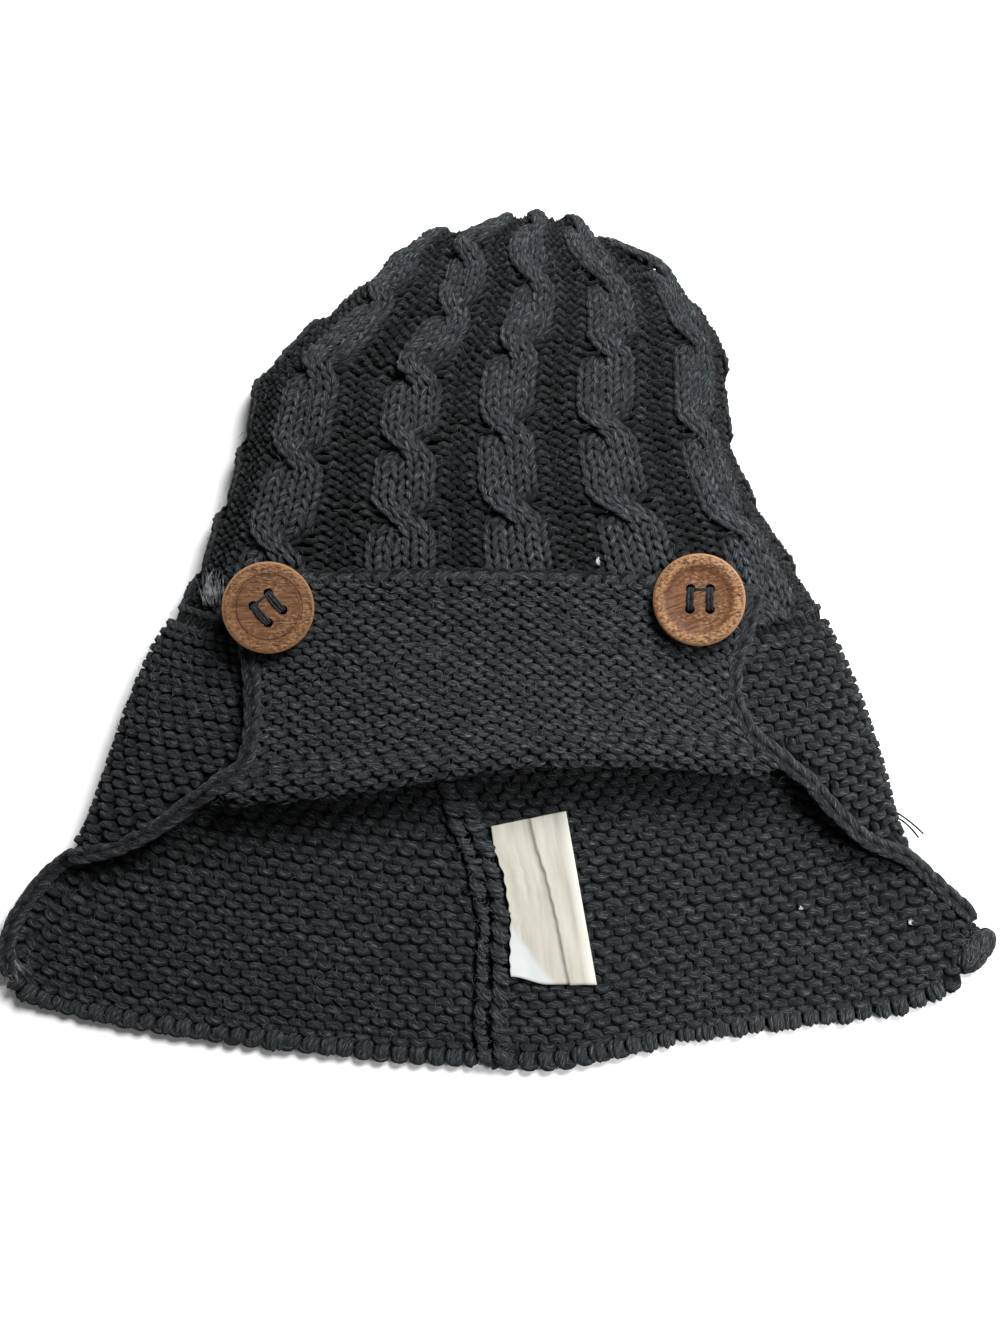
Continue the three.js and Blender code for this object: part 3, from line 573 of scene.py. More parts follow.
def garter_half(name, left):
    """One side of the band: rows worked from the back seam round the fold to the free edge."""
    skein = Skein(5)
    for row in range(GARTER_ROWS):
        limit = int(abs(np.interp(row, garter_rows, garter_ends[:, 0 if left else 1])))
        first, last = (-limit, -1) if left else (0, limit)
        loops = np.arange(first, last)
        turned = garter_turn[int(round((row + 0.5 - garter_rows[0]) / 0.5))]
        shown_head = (row % 2 == 0) == behind(np.interp(loops + 0.5, GARTER_ACROSS, turned))
        shapes = [LOOP_HEAD if head else LOOP_FOOT for head in shown_head]
        t = np.concatenate(shapes + [[-math.pi]])
        stitch = np.concatenate([np.full(len(shape), j) for j, shape in zip(loops, shapes)] + [[last]])
        base = stitch + 0.5 + t / (2 * math.pi)
        uneven = unevenness(base + 0.5, first, last + 1)
        spot, _ = garter.at(base, np.full(len(base), row + 0.5))
        angle = np.interp(base, GARTER_ACROSS, turned)
        margin = np.where((angle > HEM_TURNS[0]) & (angle < HEM_TURNS[1]), HEM_MARGIN, EDGE_MARGIN)
        front = (angle < 180) | (angle > 360)
        covered = front & (np.abs(spot[:, 0] + 2) < UNDER_FLAP[0]) & (spot[:, 1] > UNDER_FLAP[1])
        inside = (edge_distance(spot, angle) > margin) & ~covered
        out = np.flatnonzero(~(inside[::-1] if left else inside))
        size = out[0] if len(out) else len(inside)
        if size < ONE_LOOP:
            continue
        use = slice(len(inside) - size, None) if left else slice(0, size)
        uneven = [u[use] for u in uneven]
        path, normal, lift = garter_path(garter, base[use], row, t[use], uneven, GARTER_DEPTH)
        away = np.where(behind(angle[use]), 1, -1)
        # Painted shade: loops that sink towards the far side of the band are painted darker by their level.
        skein.add(path, normal, GARTER_YARN * (1 + 0.07 * uneven[0]), lift * away - GARTER_DEPTH,
                  start=row * 31.0, facing=away)
    skein.knit(name, garter_yarn, ["skirt"], "garter_knit")


garter_half("garter_left", True)
garter_half("garter_right", False)


# Hem
# The cast-on edge: doubled yarn carried over it in rounded lumps, one to a stitch, that
# ends at the right corner in a small curled nub.
NUB = np.array([[136.4, -96.2, 4.1], [139.4, -92.6, 4.4], [142.2, -88.8, 4.8], [144.4, -85.0, 5.2]])
HEM_PLIES = ((-1.35, 1.0), (0.0, 1.15), (1.35, 1.08))
# A darker copy of the same yarn: painted shade on the edges.
edge_yarn = yarn_finish("edge_knit", 1.1, 1.3, 0.72)
sky = np.array([0.0, 0.0, 1.0])


def line_frame(spots, up):
    """Length along a line, and the ways off it that lie nearest to up and beside up."""
    run = unit(np.gradient(spots, axis=0))
    up = unit(up - run * (up * run).sum(-1, keepdims=True))
    return travelled(spots), up, np.cross(run, up)


def table_at(places, table, at):
    """Each column of a table read between its rows."""
    return np.stack([np.interp(at, places, table[:, k]) for k in range(table.shape[1])], -1)


def wrap(skein, spots, up, pitch, bow, plies, loose, lay):
    """Strands carried side by side over an edge: straight on top, slanting on underneath."""
    length, up, side = line_frame(spots, up)
    count = int(length[-1] / pitch)
    whole = np.linspace(0, count, count * 12 + 1)
    within = np.minimum(whole, count - 0.01)
    lump = unevenness(within, 0, count)
    turn = 2 * math.pi * whole
    above = np.maximum(0, np.sin(turn))
    for offset, yarn in plies:
        full, aside, raised = unevenness(within, 0, count)
        along = np.floor(whole) + ease(np.mod(whole, 1), lay, 1.0) + 0.05 * (lump[1] + aside)
        along = along * length[-1] / count + offset
        out = (unit(table_at(length, side, along)) * np.cos(turn)[:, None]
               + unit(table_at(length, up, along)) * np.sin(turn)[:, None])
        far = bow * (1 - 0.10 * abs(offset) + loose * (lump[2] + 0.5 * raised))
        thick = yarn * (0.62 + 0.38 * above ** 0.6) * (1 + 0.08 * full)
        skein.add(table_at(length, spots, along) + out * far[:, None], out, thick,
                  # Painted shade: the slanting strands on the underside are painted darker by their level.
                  -1.6 * (1 - above) ** 2, start=offset * 11.0)


def finger(skein, spots, thick, strands, yarn, twist):
    """A curled end of cloth: strands laid lengthwise round a core, closing at the tip."""
    run = unit(np.gradient(spots, axis=0))
    side = unit(np.cross(run, sky))
    rise = np.cross(side, run)
    s = np.linspace(0, 1, len(spots))
    shut = np.sqrt(np.clip(1 - np.maximum(0, np.maximum((s - 0.55) / 0.45, (0.3 - s) / 0.3)) ** 2, 0.03, 1))
    for k in range(strands):
        turn = 2 * math.pi * k / strands + twist * s + random.normal(0, 0.08)
        out = side * np.cos(turn)[:, None] + rise * np.sin(turn)[:, None]
        skein.add(spots + out * (thick * shut)[:, None], out, yarn * (0.55 + 0.45 * shut), start=k * 13.0)


def inward(spots, step):
    """The same line moved sideways on the table, to the left of its run."""
    run = unit(np.gradient(spots, axis=0) * np.array([1, 1, 0]))
    return spots + np.stack([-run[:, 1], run[:, 0], 0 * run[:, 0]], -1) * step


def joined(parts, count, reach):
    """One smooth line through several runs of spots or directions."""
    line = np.concatenate(parts)
    length = travelled(line[:, :3])
    line = table_at(length, line, np.linspace(0, length[-1], count))
    soft = np.hanning(2 * reach + 3)[1:-1]
    line = np.pad(line, ((reach, reach), (0, 0)), mode="edge")
    return np.stack([np.convolve(column, soft / soft.sum(), "valid") for column in line.T], -1)


def edge_run(start, end):
    turns = np.linspace(start, end, 240)
    return body(turns, edge_line(np.where(turns < -12, turns + 360, turns)), GARTER_WALL)


skein = Skein(5)
hem_run = joined([inward(edge_run(204.5, 320.5), 3.0) + sky * 0.4], 400, 10)
wrap(skein, hem_run, sky, 5.25, 2.3, HEM_PLIES, 0.15, 0.3)
finger(skein, joined([NUB], 24, 2), 3.0, 11, 1.05, 3.4)
skein.knit("hem_edge", edge_yarn, ["skirt"], "garter_knit")


# Turned-up flap
# The front of the garter band, folded up over the forehead and held by two buttons.
# Its rows are pressed flatter, and its top is a bound-off chain.
FLAP_LEFT_Y = [-45.0, -39.5, -34.0, -27.5, -16.5, -7.7, 5.4, 16.2]
FLAP_LEFT_X = [-83.5, -78.0, -73.0, -71.2, -70.2, -70.6, -72.8, -74.0]
FLAP_RIGHT_Y = [-36.0, -30.8, -24.0, -18.0, -15.8, -6.6, 1.5, 12.4]
FLAP_RIGHT_X = [82.5, 77.5, 70.5, 67.8, 66.3, 66.6, 69.0, 71.2]
FLAP_TOP_X, FLAP_TOP_Y = [-74, -56, -28, 0, 28, 56, 72], [16.2, 18.9, 19.4, 19.7, 18.6, 17.5, 13.6]
FOLD_X = [-86, -70, -48, -33, -20, 1, 11, 33, 68, 84]
FOLD_Y = [-49.5, -46.2, -44.4, -42.1, -39.6, -36.9, -35.8, -36.0, -38.4, -42.0]
FLAP_LOW, FLAP_HIGH = 5.8, 7.4
BEND = FLAP_LOW / 2
FLAP_STITCHES = 30
FLAP_ROWS = 32
BEND_ROWS = 5
FLAP_YARN = 1.08
FLAP_TUCK = 0.9
FLAP_DEPTH = 1.45


def turn_at(x, y):
    """Angle round the front at which the wall stands over x."""
    centre, half = section(y)[:2]
    return np.degrees(np.arccos(np.clip((x - centre) / half, -1, 1)))


def front_point(x, y, wall=GARTER_WALL):
    return body(turn_at(x, y), y, wall)


def front_normal(x, y):
    across = front_point(x + 1.5, y) - front_point(x - 1.5, y)
    return unit(np.cross(across, front_point(x, y + 1.5) - front_point(x, y - 1.5)))


def flap_lift(y):
    return mix(FLAP_LOW, FLAP_HIGH, ease(y, 8, 20))


def flap_point(s, row):
    """Middle of the flap: rows from 0 up lie on the front, rows below 0 go round the fold."""
    low_x = mix(FLAP_LEFT_X[0], FLAP_RIGHT_X[0], s)
    high_x = mix(FLAP_LEFT_X[-1], FLAP_RIGHT_X[-1], s)
    fold = through(FOLD_X, FOLD_Y, low_x) + BEND + GARTER_WALL / 2
    v = np.maximum(row, 0) / FLAP_ROWS
    y = mix(fold, through(FLAP_TOP_X, FLAP_TOP_Y, high_x), v)
    x = mix(through(FLAP_LEFT_Y, FLAP_LEFT_X, y), through(FLAP_RIGHT_Y, FLAP_RIGHT_X, y), s)
    x = mix(low_x, x, ease(v, 0, 0.15))
    normal = front_normal(x, y)
    toward = unit(np.stack([0 * x, -normal[..., 2], normal[..., 1]], -1))
    turn = 2.8 * np.maximum(-row, 0) / BEND_ROWS
    rise = np.where(row < 0, BEND * (1 + np.cos(turn)), flap_lift(y))
    return front_point(x, y) + normal * rise[..., None] + toward * (BEND * np.sin(turn))[..., None]


flap_s = np.linspace(0, 1, 61)
flap_r = np.arange(-BEND_ROWS - 0.5, FLAP_ROWS + 0.51, 0.5)
flap_cloth = Cloth(flap_point(*np.broadcast_arrays(flap_s[None, :], flap_r[:, None])),
                   (0, flap_r[0]), (FLAP_STITCHES / 60, 0.5))
# A darker copy of the same yarn: painted shade on the flap.
flap_yarn = yarn_finish("flap_knit", 1.15, FLAP_YARN, 0.74)
skein = Skein(5)
for row in range(-BEND_ROWS, FLAP_ROWS):
    turns = LOOP_HEAD if row % 2 == 0 else LOOP_FOOT
    t = np.append(np.tile(turns, FLAP_STITCHES), -math.pi)
    stitch = np.append(np.repeat(np.arange(FLAP_STITCHES), len(turns)), FLAP_STITCHES)
    base = stitch + 0.5 + t / (2 * math.pi)
    trim = 0.35 + FLAP_TUCK * (1 - ease(row, -2, 3))
    use = (base > trim) & (base < FLAP_STITCHES - trim)
    uneven = unevenness(base[use] + 0.5, 0, FLAP_STITCHES + 1)
    path, normal, lift = garter_path(flap_cloth, base[use], row, t[use], uneven, FLAP_DEPTH)
    # Painted shade: the loops are painted darker where they sink, by their level.
    skein.add(path, normal, FLAP_YARN * (1 + 0.07 * uneven[0]), lift - FLAP_DEPTH, start=row * 29.0)
skein.knit("flap", flap_yarn, ["front_flap"], "flap_knit")

skein = Skein(6)
columns = np.linspace(0.2, FLAP_STITCHES - 0.2, 200)
spots, normal = flap_cloth.at(columns, np.full(200, FLAP_ROWS - 0.6))
wrap(skein, spots + normal * 0.1, normal, 5.2, 1.1, ((-0.9, 1.0), (0.9, 1.05)), 0.24, 0.1)
skein.knit("flap_edge", edge_yarn, ["front_flap"], "flap_knit")


# Selvedge
# The edge stitch of every garter row stands up as a soft chain: it runs along the
# free edge of each ear flap, turns up at the fold and goes on along the side of the flap.
SELVEDGE_PITCH, SELVEDGE_BOW, SELVEDGE_YARN = 5.6, 1.35, 1.3
SELVEDGE_SPREAD, SELVEDGE_DEPTH, SELVEDGE_OUT = 175, 0.55, 0.017
HAT_MIDDLE = np.array([0, -45])


def chain(skein, spots, up):
    """A column of V stitches laid along a line, wrapped over a rounded edge."""
    length, up, side = line_frame(spots, up)
    count = int(length[-1] / SELVEDGE_PITCH)
    pitch = length[-1] / count
    t = np.linspace(-math.pi, math.pi, 13)
    lift = -SELVEDGE_DEPTH * np.cos(2 * t)
    for j in range(count):
        loose = random.normal(0, 1, 3)
        along = np.clip((j + 0.5 + (0.9 + 0.05 * loose[0]) * np.cos(t)) * pitch, 0, length[-1])
        turn = np.radians(SELVEDGE_SPREAD * (t / (2 * math.pi) + 0.2 * np.sin(2 * t)) + 5 * loose[1])
        out = (unit(table_at(length, side, along)) * np.sin(turn)[:, None]
               + unit(table_at(length, up, along)) * np.cos(turn)[:, None])
        path = table_at(length, spots, along) + out * (SELVEDGE_BOW + lift + 0.1 * loose[2])[:, None]
        # Painted shade: where each chain stitch dips, it is painted darker by its level.
        skein.add(path, out, SELVEDGE_YARN * (1 + 0.05 * loose[0]), lift - SELVEDGE_DEPTH, start=j * 17.0)


skein = Skein(6)
for start, end, column in ((204, 140, 0.35), (-23, 37, FLAP_STITCHES - 0.35)):
    ear = edge_run(start, end)
    turns = np.linspace(start, end, 240)
    outer = ease(np.where(turns > 90, turns, -turns), 165, 190) if start > 90 else ease(-turns, -15, 12)
    ear[:, :2] += (HAT_MIDDLE - ear[:, :2]) * (SELVEDGE_OUT * outer)[:, None]
    side, normal = flap_cloth.at(np.full(120, column), np.linspace(1.2, FLAP_ROWS - 0.5, 120))
    line = joined([np.hstack([ear + sky * 0.5, np.broadcast_to(sky, ear.shape)]),
                   np.hstack([side + normal * 0.5, normal])], 420, 10)
    chain(skein, line[:, :3], line[:, 3:])
skein.knit("selvedge", edge_yarn, ["skirt"], "garter_knit")


# Back seam
# The two ends of the garter band sewn together: two ropy columns down the neck.
# The columns lie side by side on the inside, loosely drawn and a little uneven.
def back_top(x, y):
    return body(360 - turn_at(x, y), y, GARTER_WALL)[..., 2] + GARTER_WALL / 2


SEAM_PLIES = ((-1.5, 1.0), (0.1, 1.15), (1.6, 0.95))
skein = Skein(6)
seam_y = np.linspace(-123.0, -14.0, 160)
for offset, rise in ((-2.7, 1.5), (2.3, 2.0)):
    seam_x = np.interp(seam_y, SEAM_Y, SEAM_X) + offset + 0.5 * np.sin(seam_y / 3.1 + offset)
    spots = np.stack([seam_x, seam_y, back_top(seam_x, seam_y) + rise], -1)
    wrap(skein, spots, sky, 6.2, 1.75, SEAM_PLIES, 0.32, 0.08)
skein.knit("seam", edge_yarn, ["back_seam"], "seam_knit")


# Painted shade sheets inside the knit
# A very dark thin sheet in the middle of each wall of cloth, in the middle of the yarn: painted
# shade, seen as shade between the loops, and bare on the front wall under the turned-up flap.
SHADE_SHEET_THICK = 0.5
WEB_FROM, WEB_TO, WEB_OUT = 10, 22, 0.015


def finished(shape, name):
    """A mesh from a bmesh that is done with."""
    mesh = bpy.data.meshes.new(name)
    shape.to_mesh(mesh)
    shape.free()
    return mesh


def shade_sheet(name, across, along, spot, closed, nodes):
    shape = bmesh.new()
    bmesh.ops.create_grid(shape, x_segments=across, y_segments=along, size=0.5)
    shape.verts.ensure_lookup_table()
    flat = np.array([v.co for v in shape.verts]) + 0.5
    for v, co in zip(shape.verts, spot(flat[:, 0], flat[:, 1]) * MM):
        v.co = co
    if closed:
        bmesh.ops.remove_doubles(shape, verts=shape.verts, dist=1e-6)
    bmesh.ops.recalc_face_normals(shape, faces=shape.faces)
    mesh = finished(shape, name)
    mesh.shade_smooth()
    shell = place(name, mesh, shade, nodes).modifiers.new("shell", "SOLIDIFY")
    shell.thickness = SHADE_SHEET_THICK * MM


# Near-black painted shade for these sheets; the two loose ends on the right ear flap also use it as their
# own dark yarn.
shade_finish = Finish("loop_shade", Roughness=0.95, Specular_IOR_Level=0.05)
shade_finish.link("Base Color", shade_finish.colour(
    shade_finish.noise(shade_finish.place(), 900.0, 3.0),
    (0.003, 0.0034, 0.0038, 1), (0.010, 0.0109, 0.0120, 1)))
shade = shade_finish.material


def skirt_shade_sheet(u, v):
    """Reaches right under the selvedge where the band turns round the side folds."""
    angle = u * 360
    off = np.minimum(np.abs(angle - 184), np.abs(np.mod(angle - 176, 360) - 180))
    web = 1 - ease(off, WEB_FROM, WEB_TO)
    low = edge_line(angle) + mix(2.6, 0.3, web)
    spots = body(angle, mix(low, join_line(angle) - JOIN_GAP, v), GARTER_WALL)
    push = WEB_OUT * web * (1 - ease(v, 0, 0.1))
    spots[:, :2] += (spots[:, :2] - HAT_MIDDLE) * push[:, None]
    return spots


def crown_shade_sheet(u, v):
    spots, normals = crown_cloth.at(u * CROWN_STITCHES, -0.5 + v * (CROWN_ROWS + 0.4))
    return spots - normals * (3.3 * np.abs(normals[:, 2:]) - 0.6)


shade_sheet("garter_shade_sheet", 120, 24, skirt_shade_sheet, True, ["skirt"])
shade_sheet("crown_shade_sheet", 96, 30, crown_shade_sheet, True, ["crown"])


def flap_shade_sheet(u, v):
    row = -BEND_ROWS + 0.3 + v * (FLAP_ROWS + BEND_ROWS - 1.6)
    tuck = 0.9 + 1.6 * (1 - ease(row, -1, 4))
    return flap_cloth.at(tuck + u * (FLAP_STITCHES - 2 * tuck), row)[0]


shade_sheet("flap_shade_sheet", 40, 24, flap_shade_sheet, False, ["front_flap"])


# Label
# A woven cotton tape sewn in with the back seam by its left side, bare, creased
# down its length where it was folded and lifted a little off the knit.
LABEL_X = [-2.6, 19.4, 28.5, 3.2]
LABEL_Y = [-54.2, -49.8, -100.9, -100.6]
LABEL_WIDE, LABEL_LONG, LABEL_THICK = 24.5, 49.5, 0.35
CREASE_TOP, CREASE_LOW, CREASE_HIGH = 0.525, 0.695, 1.7
CREASE_FOOT, CREASE_CLIFF = 3.2, 0.55
TWILL_PITCH, WEFT_PITCH = 0.55, 0.28
SEAM_REACH, SEAM_WAVE = 4.6, 4.6


def label_point(u, v):
    x0, x1, x2, x3 = LABEL_X
    y0, y1, y2, y3 = LABEL_Y
    sag = 2.4 * (1 - ease(u, 0, 0.42)) * ease(v, 0.80, 1.0)
    y = mix(mix(y0, y1, u), mix(y3, y2, u) + sag, v)
    sewn = np.interp(y, SEAM_Y, SEAM_X) + SEAM_REACH + 0.6 + 0.22 * np.sin(2 * math.pi * y / SEAM_WAVE)
    free = mix(x0, x3, v)
    x = mix(np.maximum(free, sewn), mix(x1, x2, v), u)
    off = (u - mix(CREASE_TOP, CREASE_LOW, v)) * 24.0
    crease = CREASE_HIGH * np.where(off > 0, np.exp(-off / CREASE_FOOT), np.exp(off / CREASE_CLIFF))
    roll = 1.6 * (1 - u) ** 2 + 0.5 * ease(u, 0.80, 1.0) + 0.9 * (1 - ease(u, 0, 0.3)) * ease(v, 0.7, 1)
    wave = 0.26 * np.sin(6.0 * u + 4.4 * v + 0.6) + 0.10 * np.sin(14.0 * u - 8.0 * v) * np.sin(4.0 * v + 0.4)
    wave = wave + 0.035 * np.sin(29.0 * u + 13.0 * v) * ease(v, 0.25, 0.6)
    return np.stack([x, y, back_top(x, y) + 0.95 + crease + roll + wave], -1)


label_shape = bmesh.new()
bmesh.ops.create_grid(label_shape, x_segments=56, y_segments=56, size=0.5)
flat = np.array([v.co for v in label_shape.verts]) + 0.5
weave = label_shape.loops.layers.uv.new("weave")
for face in label_shape.faces:
    for loop in face.loops:
        loop[weave].uv = (loop.vert.co.x + 0.5, loop.vert.co.y + 0.5)
for v, co in zip(label_shape.verts, label_point(flat[:, 0], 1 - flat[:, 1]) * MM):
    v.co = co
bmesh.ops.solidify(label_shape, geom=label_shape.faces[:], thickness=LABEL_THICK * MM)
bmesh.ops.recalc_face_normals(label_shape, faces=label_shape.faces)
label_mesh = finished(label_shape, "label_tape")
label_mesh.shade_smooth()

tape = Finish("label_tape", Roughness=0.82, Specular_IOR_Level=0.2)
weave_uv = tape.node("ShaderNodeUVMap", {"uv_map": "weave"}, {}).outputs[0]
across, down, _ = tape.split(weave_uv)
twill = ((across * LABEL_WIDE + down * LABEL_LONG) * (2 * math.pi / TWILL_PITCH)).wave() * 0.5 + 0.5
thread = (down * (2 * math.pi * LABEL_LONG / WEFT_PITCH)).wave() * 0.5 + 0.5
cloud = tape.noise(tape.vector(across * 9.0, down * 2.4, 0.0), 1.0, 3.0)
cloth = tape.colour(cloud.between(0.3, 0.7), (0.285, 0.270, 0.222, 1), (0.385, 0.378, 0.335, 1))
# Painted highlight: the lower-left corner, curled up off the knit, is painted a paler bluish white.
painted_light_corner = (1.0 - across * 1.9 - down * 2.6).between(-0.05, 0.12)
cloth = tape.colour(painted_light_corner * 0.75, cloth, (0.43, 0.46, 0.47, 1))
cloth = tape.colour(across.between(0.86, 0.97) * 0.8, cloth, (0.53, 0.52, 0.48, 1))
tape.link("Base Color", tape.colour(twill * 0.05 + thread * 0.04, cloth, (0.40, 0.38, 0.32, 1)))
tape.bump(twill * 0.5 + thread * 0.5, 0.35, 0.00006)
label = place("label_tape", label_mesh, tape.material, ["label"])


# Buttons
# Two turned wooden buttons with four drilled holes, one each side of the flap.
# The left one is flat with a cut ring, the right one is dished behind a raised rim.
BUTTON_RADIUS, BUTTON_THICK, HOLE_RADIUS = 12.7, 3.8, 1.35
LEFT_BUTTON = dict(x=-63.0, y=9.4, stand=3.8, lean=6.0, pitch=4.5)
RIGHT_BUTTON = dict(x=54.0, y=11.9, stand=3.9, lean=-6.0, pitch=4.0)
LEFT_HOLES = [(0.1, 4.1), (4.0, -0.6), (-4.0, 0.6), (0.0, -4.1)]
RIGHT_HOLES = [(-2.3, 3.0), (-2.5, -2.6), (3.0, 3.0), (3.0, -2.6)]
BUTTON_UNDER = [(BUTTON_RADIUS, 0.9), (12.3, 0.25), (11.6, 0.0), (0.0, 0.0)]
LEFT_FACE = [(0.0, BUTTON_THICK), (8.6, 3.8), (8.9, 3.5), (9.3, 3.5), (9.6, 3.8), (11.7, 3.75),
             (12.35, 3.45), (BUTTON_RADIUS, 2.8)] + BUTTON_UNDER
RIGHT_FACE = [(0.0, 2.70), (6.6, 2.72), (8.0, 2.86), (9.1, 3.25), (9.9, 3.65), (10.5, BUTTON_THICK),
              (11.3, 3.78), (12.2, 3.45), (BUTTON_RADIUS, 2.7)] + BUTTON_UNDER


def button_frame(at):
    x, y = np.array([at["x"]]), np.array([at["y"]])
    seat = (front_point(x, y) + front_normal(x, y) * (flap_lift(y) + GARTER_WALL / 2)[:, None])[0]
    turn = (Matrix.Rotation(math.radians(at["pitch"]), 4, "X")
            @ Matrix.Rotation(math.radians(at["lean"]), 4, "Y"))
    return Matrix.Translation(Vector(seat) + Vector((0, 0, at["stand"]))) @ turn


def turned_button(name, profile, holes, at, material):
    shape = bmesh.new()
    rim = [shape.verts.new((r, 0, z)) for r, z in profile]
    edges = [shape.edges.new(pair) for pair in zip(rim, rim[1:])]
    bmesh.ops.spin(shape, geom=rim + edges, cent=(0, 0, 0), axis=(0, 0, 1), angle=2 * math.pi, steps=80)
    bmesh.ops.remove_doubles(shape, verts=shape.verts, dist=1e-4)
    bmesh.ops.recalc_face_normals(shape, faces=shape.faces)
    work = stand(name, finished(shape, name))
    drill = bmesh.new()
    for x, y in holes:
        bmesh.ops.create_cone(drill, cap_ends=True, segments=28, radius1=HOLE_RADIUS, radius2=HOLE_RADIUS,
                              depth=12, matrix=Matrix.Translation((x, y, 2)))
    tool = stand("drill", finished(drill, "drill"))
    cut = work.modifiers.new("holes", "BOOLEAN")
    cut.object, cut.operation, cut.solver = tool, "DIFFERENCE", "EXACT"
    worn = work.modifiers.new("worn", "BEVEL")
    worn.width, worn.segments, worn.limit_method, worn.angle_limit = 0.22, 2, "ANGLE", math.radians(55)
    mesh = bpy.data.meshes.new_from_object(work.evaluated_get(bpy.context.evaluated_depsgraph_get()))
    for item in (work, tool):
        bpy.data.objects.remove(item)
    mesh.name = name
    local = np.empty(len(mesh.vertices) * 3, np.float32)
    mesh.vertices.foreach_get("co", local)
    mesh.attributes.new("wood", "FLOAT_VECTOR", "POINT").data.foreach_set("vector", local)
    mesh.transform(Matrix.Scale(MM, 4) @ button_frame(at))
    place(name + "_wood", mesh, material, [name])


def wood(name, grain_turn, mottle, pale, mid, dark, dish):
    """Oiled hardwood: straight grain, mottled patches, a lighter rim and edge, and painted shade in the
    dish.
    """
    finish = Finish(name, Roughness=0.62, Specular_IOR_Level=0.22)
    spot = finish.node("ShaderNodeAttribute", {"attribute_name": "wood"}, {}).outputs["Vector"]
    x, y, z = finish.split(spot)
    cosine, sine = math.cos(grain_turn), math.sin(grain_turn)
    along, over = x * cosine + y * sine, y * cosine - x * sine
    wander = finish.noise(finish.vector(along * 0.05, over * 0.16, z * 0.1), 1.0, 2.0) * 3.0
    lines = finish.noise(finish.vector(along * 0.045, (over + wander) * 1.25, z), 1.0, 3.0, 0.6)
    pores = finish.noise(finish.vector(along * 0.30, over * 2.6, z), 1.0, 1.0)
    fleck = finish.noise(finish.vector(x * 0.8, y * 1.3, z), 1.15, 3.0, 0.65)
    reach = (x * x + y * y).root()
    patch = finish.noise(finish.vector(x, y, z), 0.14, 1.0).between(0.42, 0.58) * mottle
    tone = lines.between(0.34, 0.68) * (1 - patch) + fleck.between(0.34, 0.66) * patch
    shade = finish.colour(tone, dark, mid)
    shade = finish.colour(fleck.between(0.50, 0.68) * (patch * 0.6 + 0.15), shade, pale)
    shade = finish.colour(pores.between(0.56, 0.68) * 0.55, shade, tinted(dark, 0.35))
    # Lighter mottling on the raised rim.
    rim = reach.between(8.9, 9.9)
    shade = finish.colour(rim * fleck.between(0.40, 0.62) * dish * 0.7, shade, tinted(pale, 1.35))
    # Painted shade: darker down the inner wall of the dish, most on the dished right button.
    wall = reach.between(7.3, 8.6) * (1 - rim)
    shade = finish.colour(wall * dish * 0.45, shade, dark)
    # Lighter round the outer edge.
    shade = finish.colour(reach.between(12.05, 12.5) * 0.75, shade, tinted(pale, 1.5))
    finish.link("Base Color", shade)
    finish.bump(lines * 0.5 + fleck * 0.5 - pores.between(0.56, 0.70) * 0.8, 0.6, 0.00022)
    return finish.material


left_wood = wood("button_wood_left", 0.0, 1.0, (0.220, 0.118, 0.050, 1), (0.142, 0.064, 0.025, 1),
                 (0.052, 0.019, 0.008, 1), 0.4)
right_wood = wood("button_wood_right", 0.35, 1.0, (0.240, 0.133, 0.064, 1), (0.152, 0.067, 0.026, 1),
                  (0.058, 0.022, 0.009, 1), 1.0)
turned_button("button_left", LEFT_FACE, LEFT_HOLES, LEFT_BUTTON, left_wood)
turned_button("button_right", RIGHT_FACE, RIGHT_HOLES, RIGHT_BUTTON, right_wood)


# Sewing threads
# Soft grey yarn through each pair of holes, two stitches to a button, and a finer end
# carried over between the two upper holes.
THREAD_STRANDS, THREAD_RADIUS, BRIDGE_RADIUS = 4, 0.31, 0.36
sewing_yarn = yarn_finish("sewing_yarn", 0.7, THREAD_RADIUS, 0.8)


def stitch_path(a, b, face, over, under, bulge):
    """From below one hole, over the face of the button and down the other hole."""
    a, b = np.array(a), np.array(b)
    t = np.linspace(0, 1, 15)
    flat_run = np.clip((t - 0.2) / 0.6, 0, 1)
    xy = a + (b - a) * (flat_run * 1.06 - 0.03)[:, None]
    high = face + over * 0.8
    z = np.interp(t, [0, 0.16, 0.30, 0.5, 0.70, 0.84, 1],
                  [under, face - 0.5, high, face + over + bulge, high, face - 0.5, under])
    return np.column_stack([xy, z])


def sew(name, holes, profile, at, slot):
    skein = Skein(6, floor=-99)
    face = profile[0][1]
    turn = np.array(button_frame(at))
    up = turn[:3, :3] @ np.array([0, 0, 1.0])
    for a, b in ((0, 1), (2, 3)):
        way = unit(np.array(holes[b]) - np.array(holes[a]))
        sideways = np.array([-way[1], way[0]])
        for strand in range(THREAD_STRANDS):
            shift = (strand - (THREAD_STRANDS - 1) / 2) * 0.42
            wander = random.normal(0, 0.12, 3)
            path = stitch_path(holes[a], holes[b], face, 0.42, -0.9, 0.22 + wander[0])
            swell = np.sin(np.linspace(0, math.pi, len(path))) ** 0.7
            path[:, :2] += sideways * ((shift * (0.55 + 0.65 * swell) + wander[1] * swell)[:, None])
            path[:, 2] += (0.30 if strand % 2 else 0.0) * swell
            world = path @ turn[:3, :3].T + turn[:3, 3]
            skein.add(world, up, THREAD_RADIUS * (1 + 0.1 * wander[2]), start=strand * 9.0)
    path = stitch_path(holes[0], holes[2], face, 0.30, 1.2, 0.05)
    skein.add(path @ turn[:3, :3].T + turn[:3, 3], up, BRIDGE_RADIUS)
    skein.knit(name + "_yarn", sewing_yarn, [name], slot)


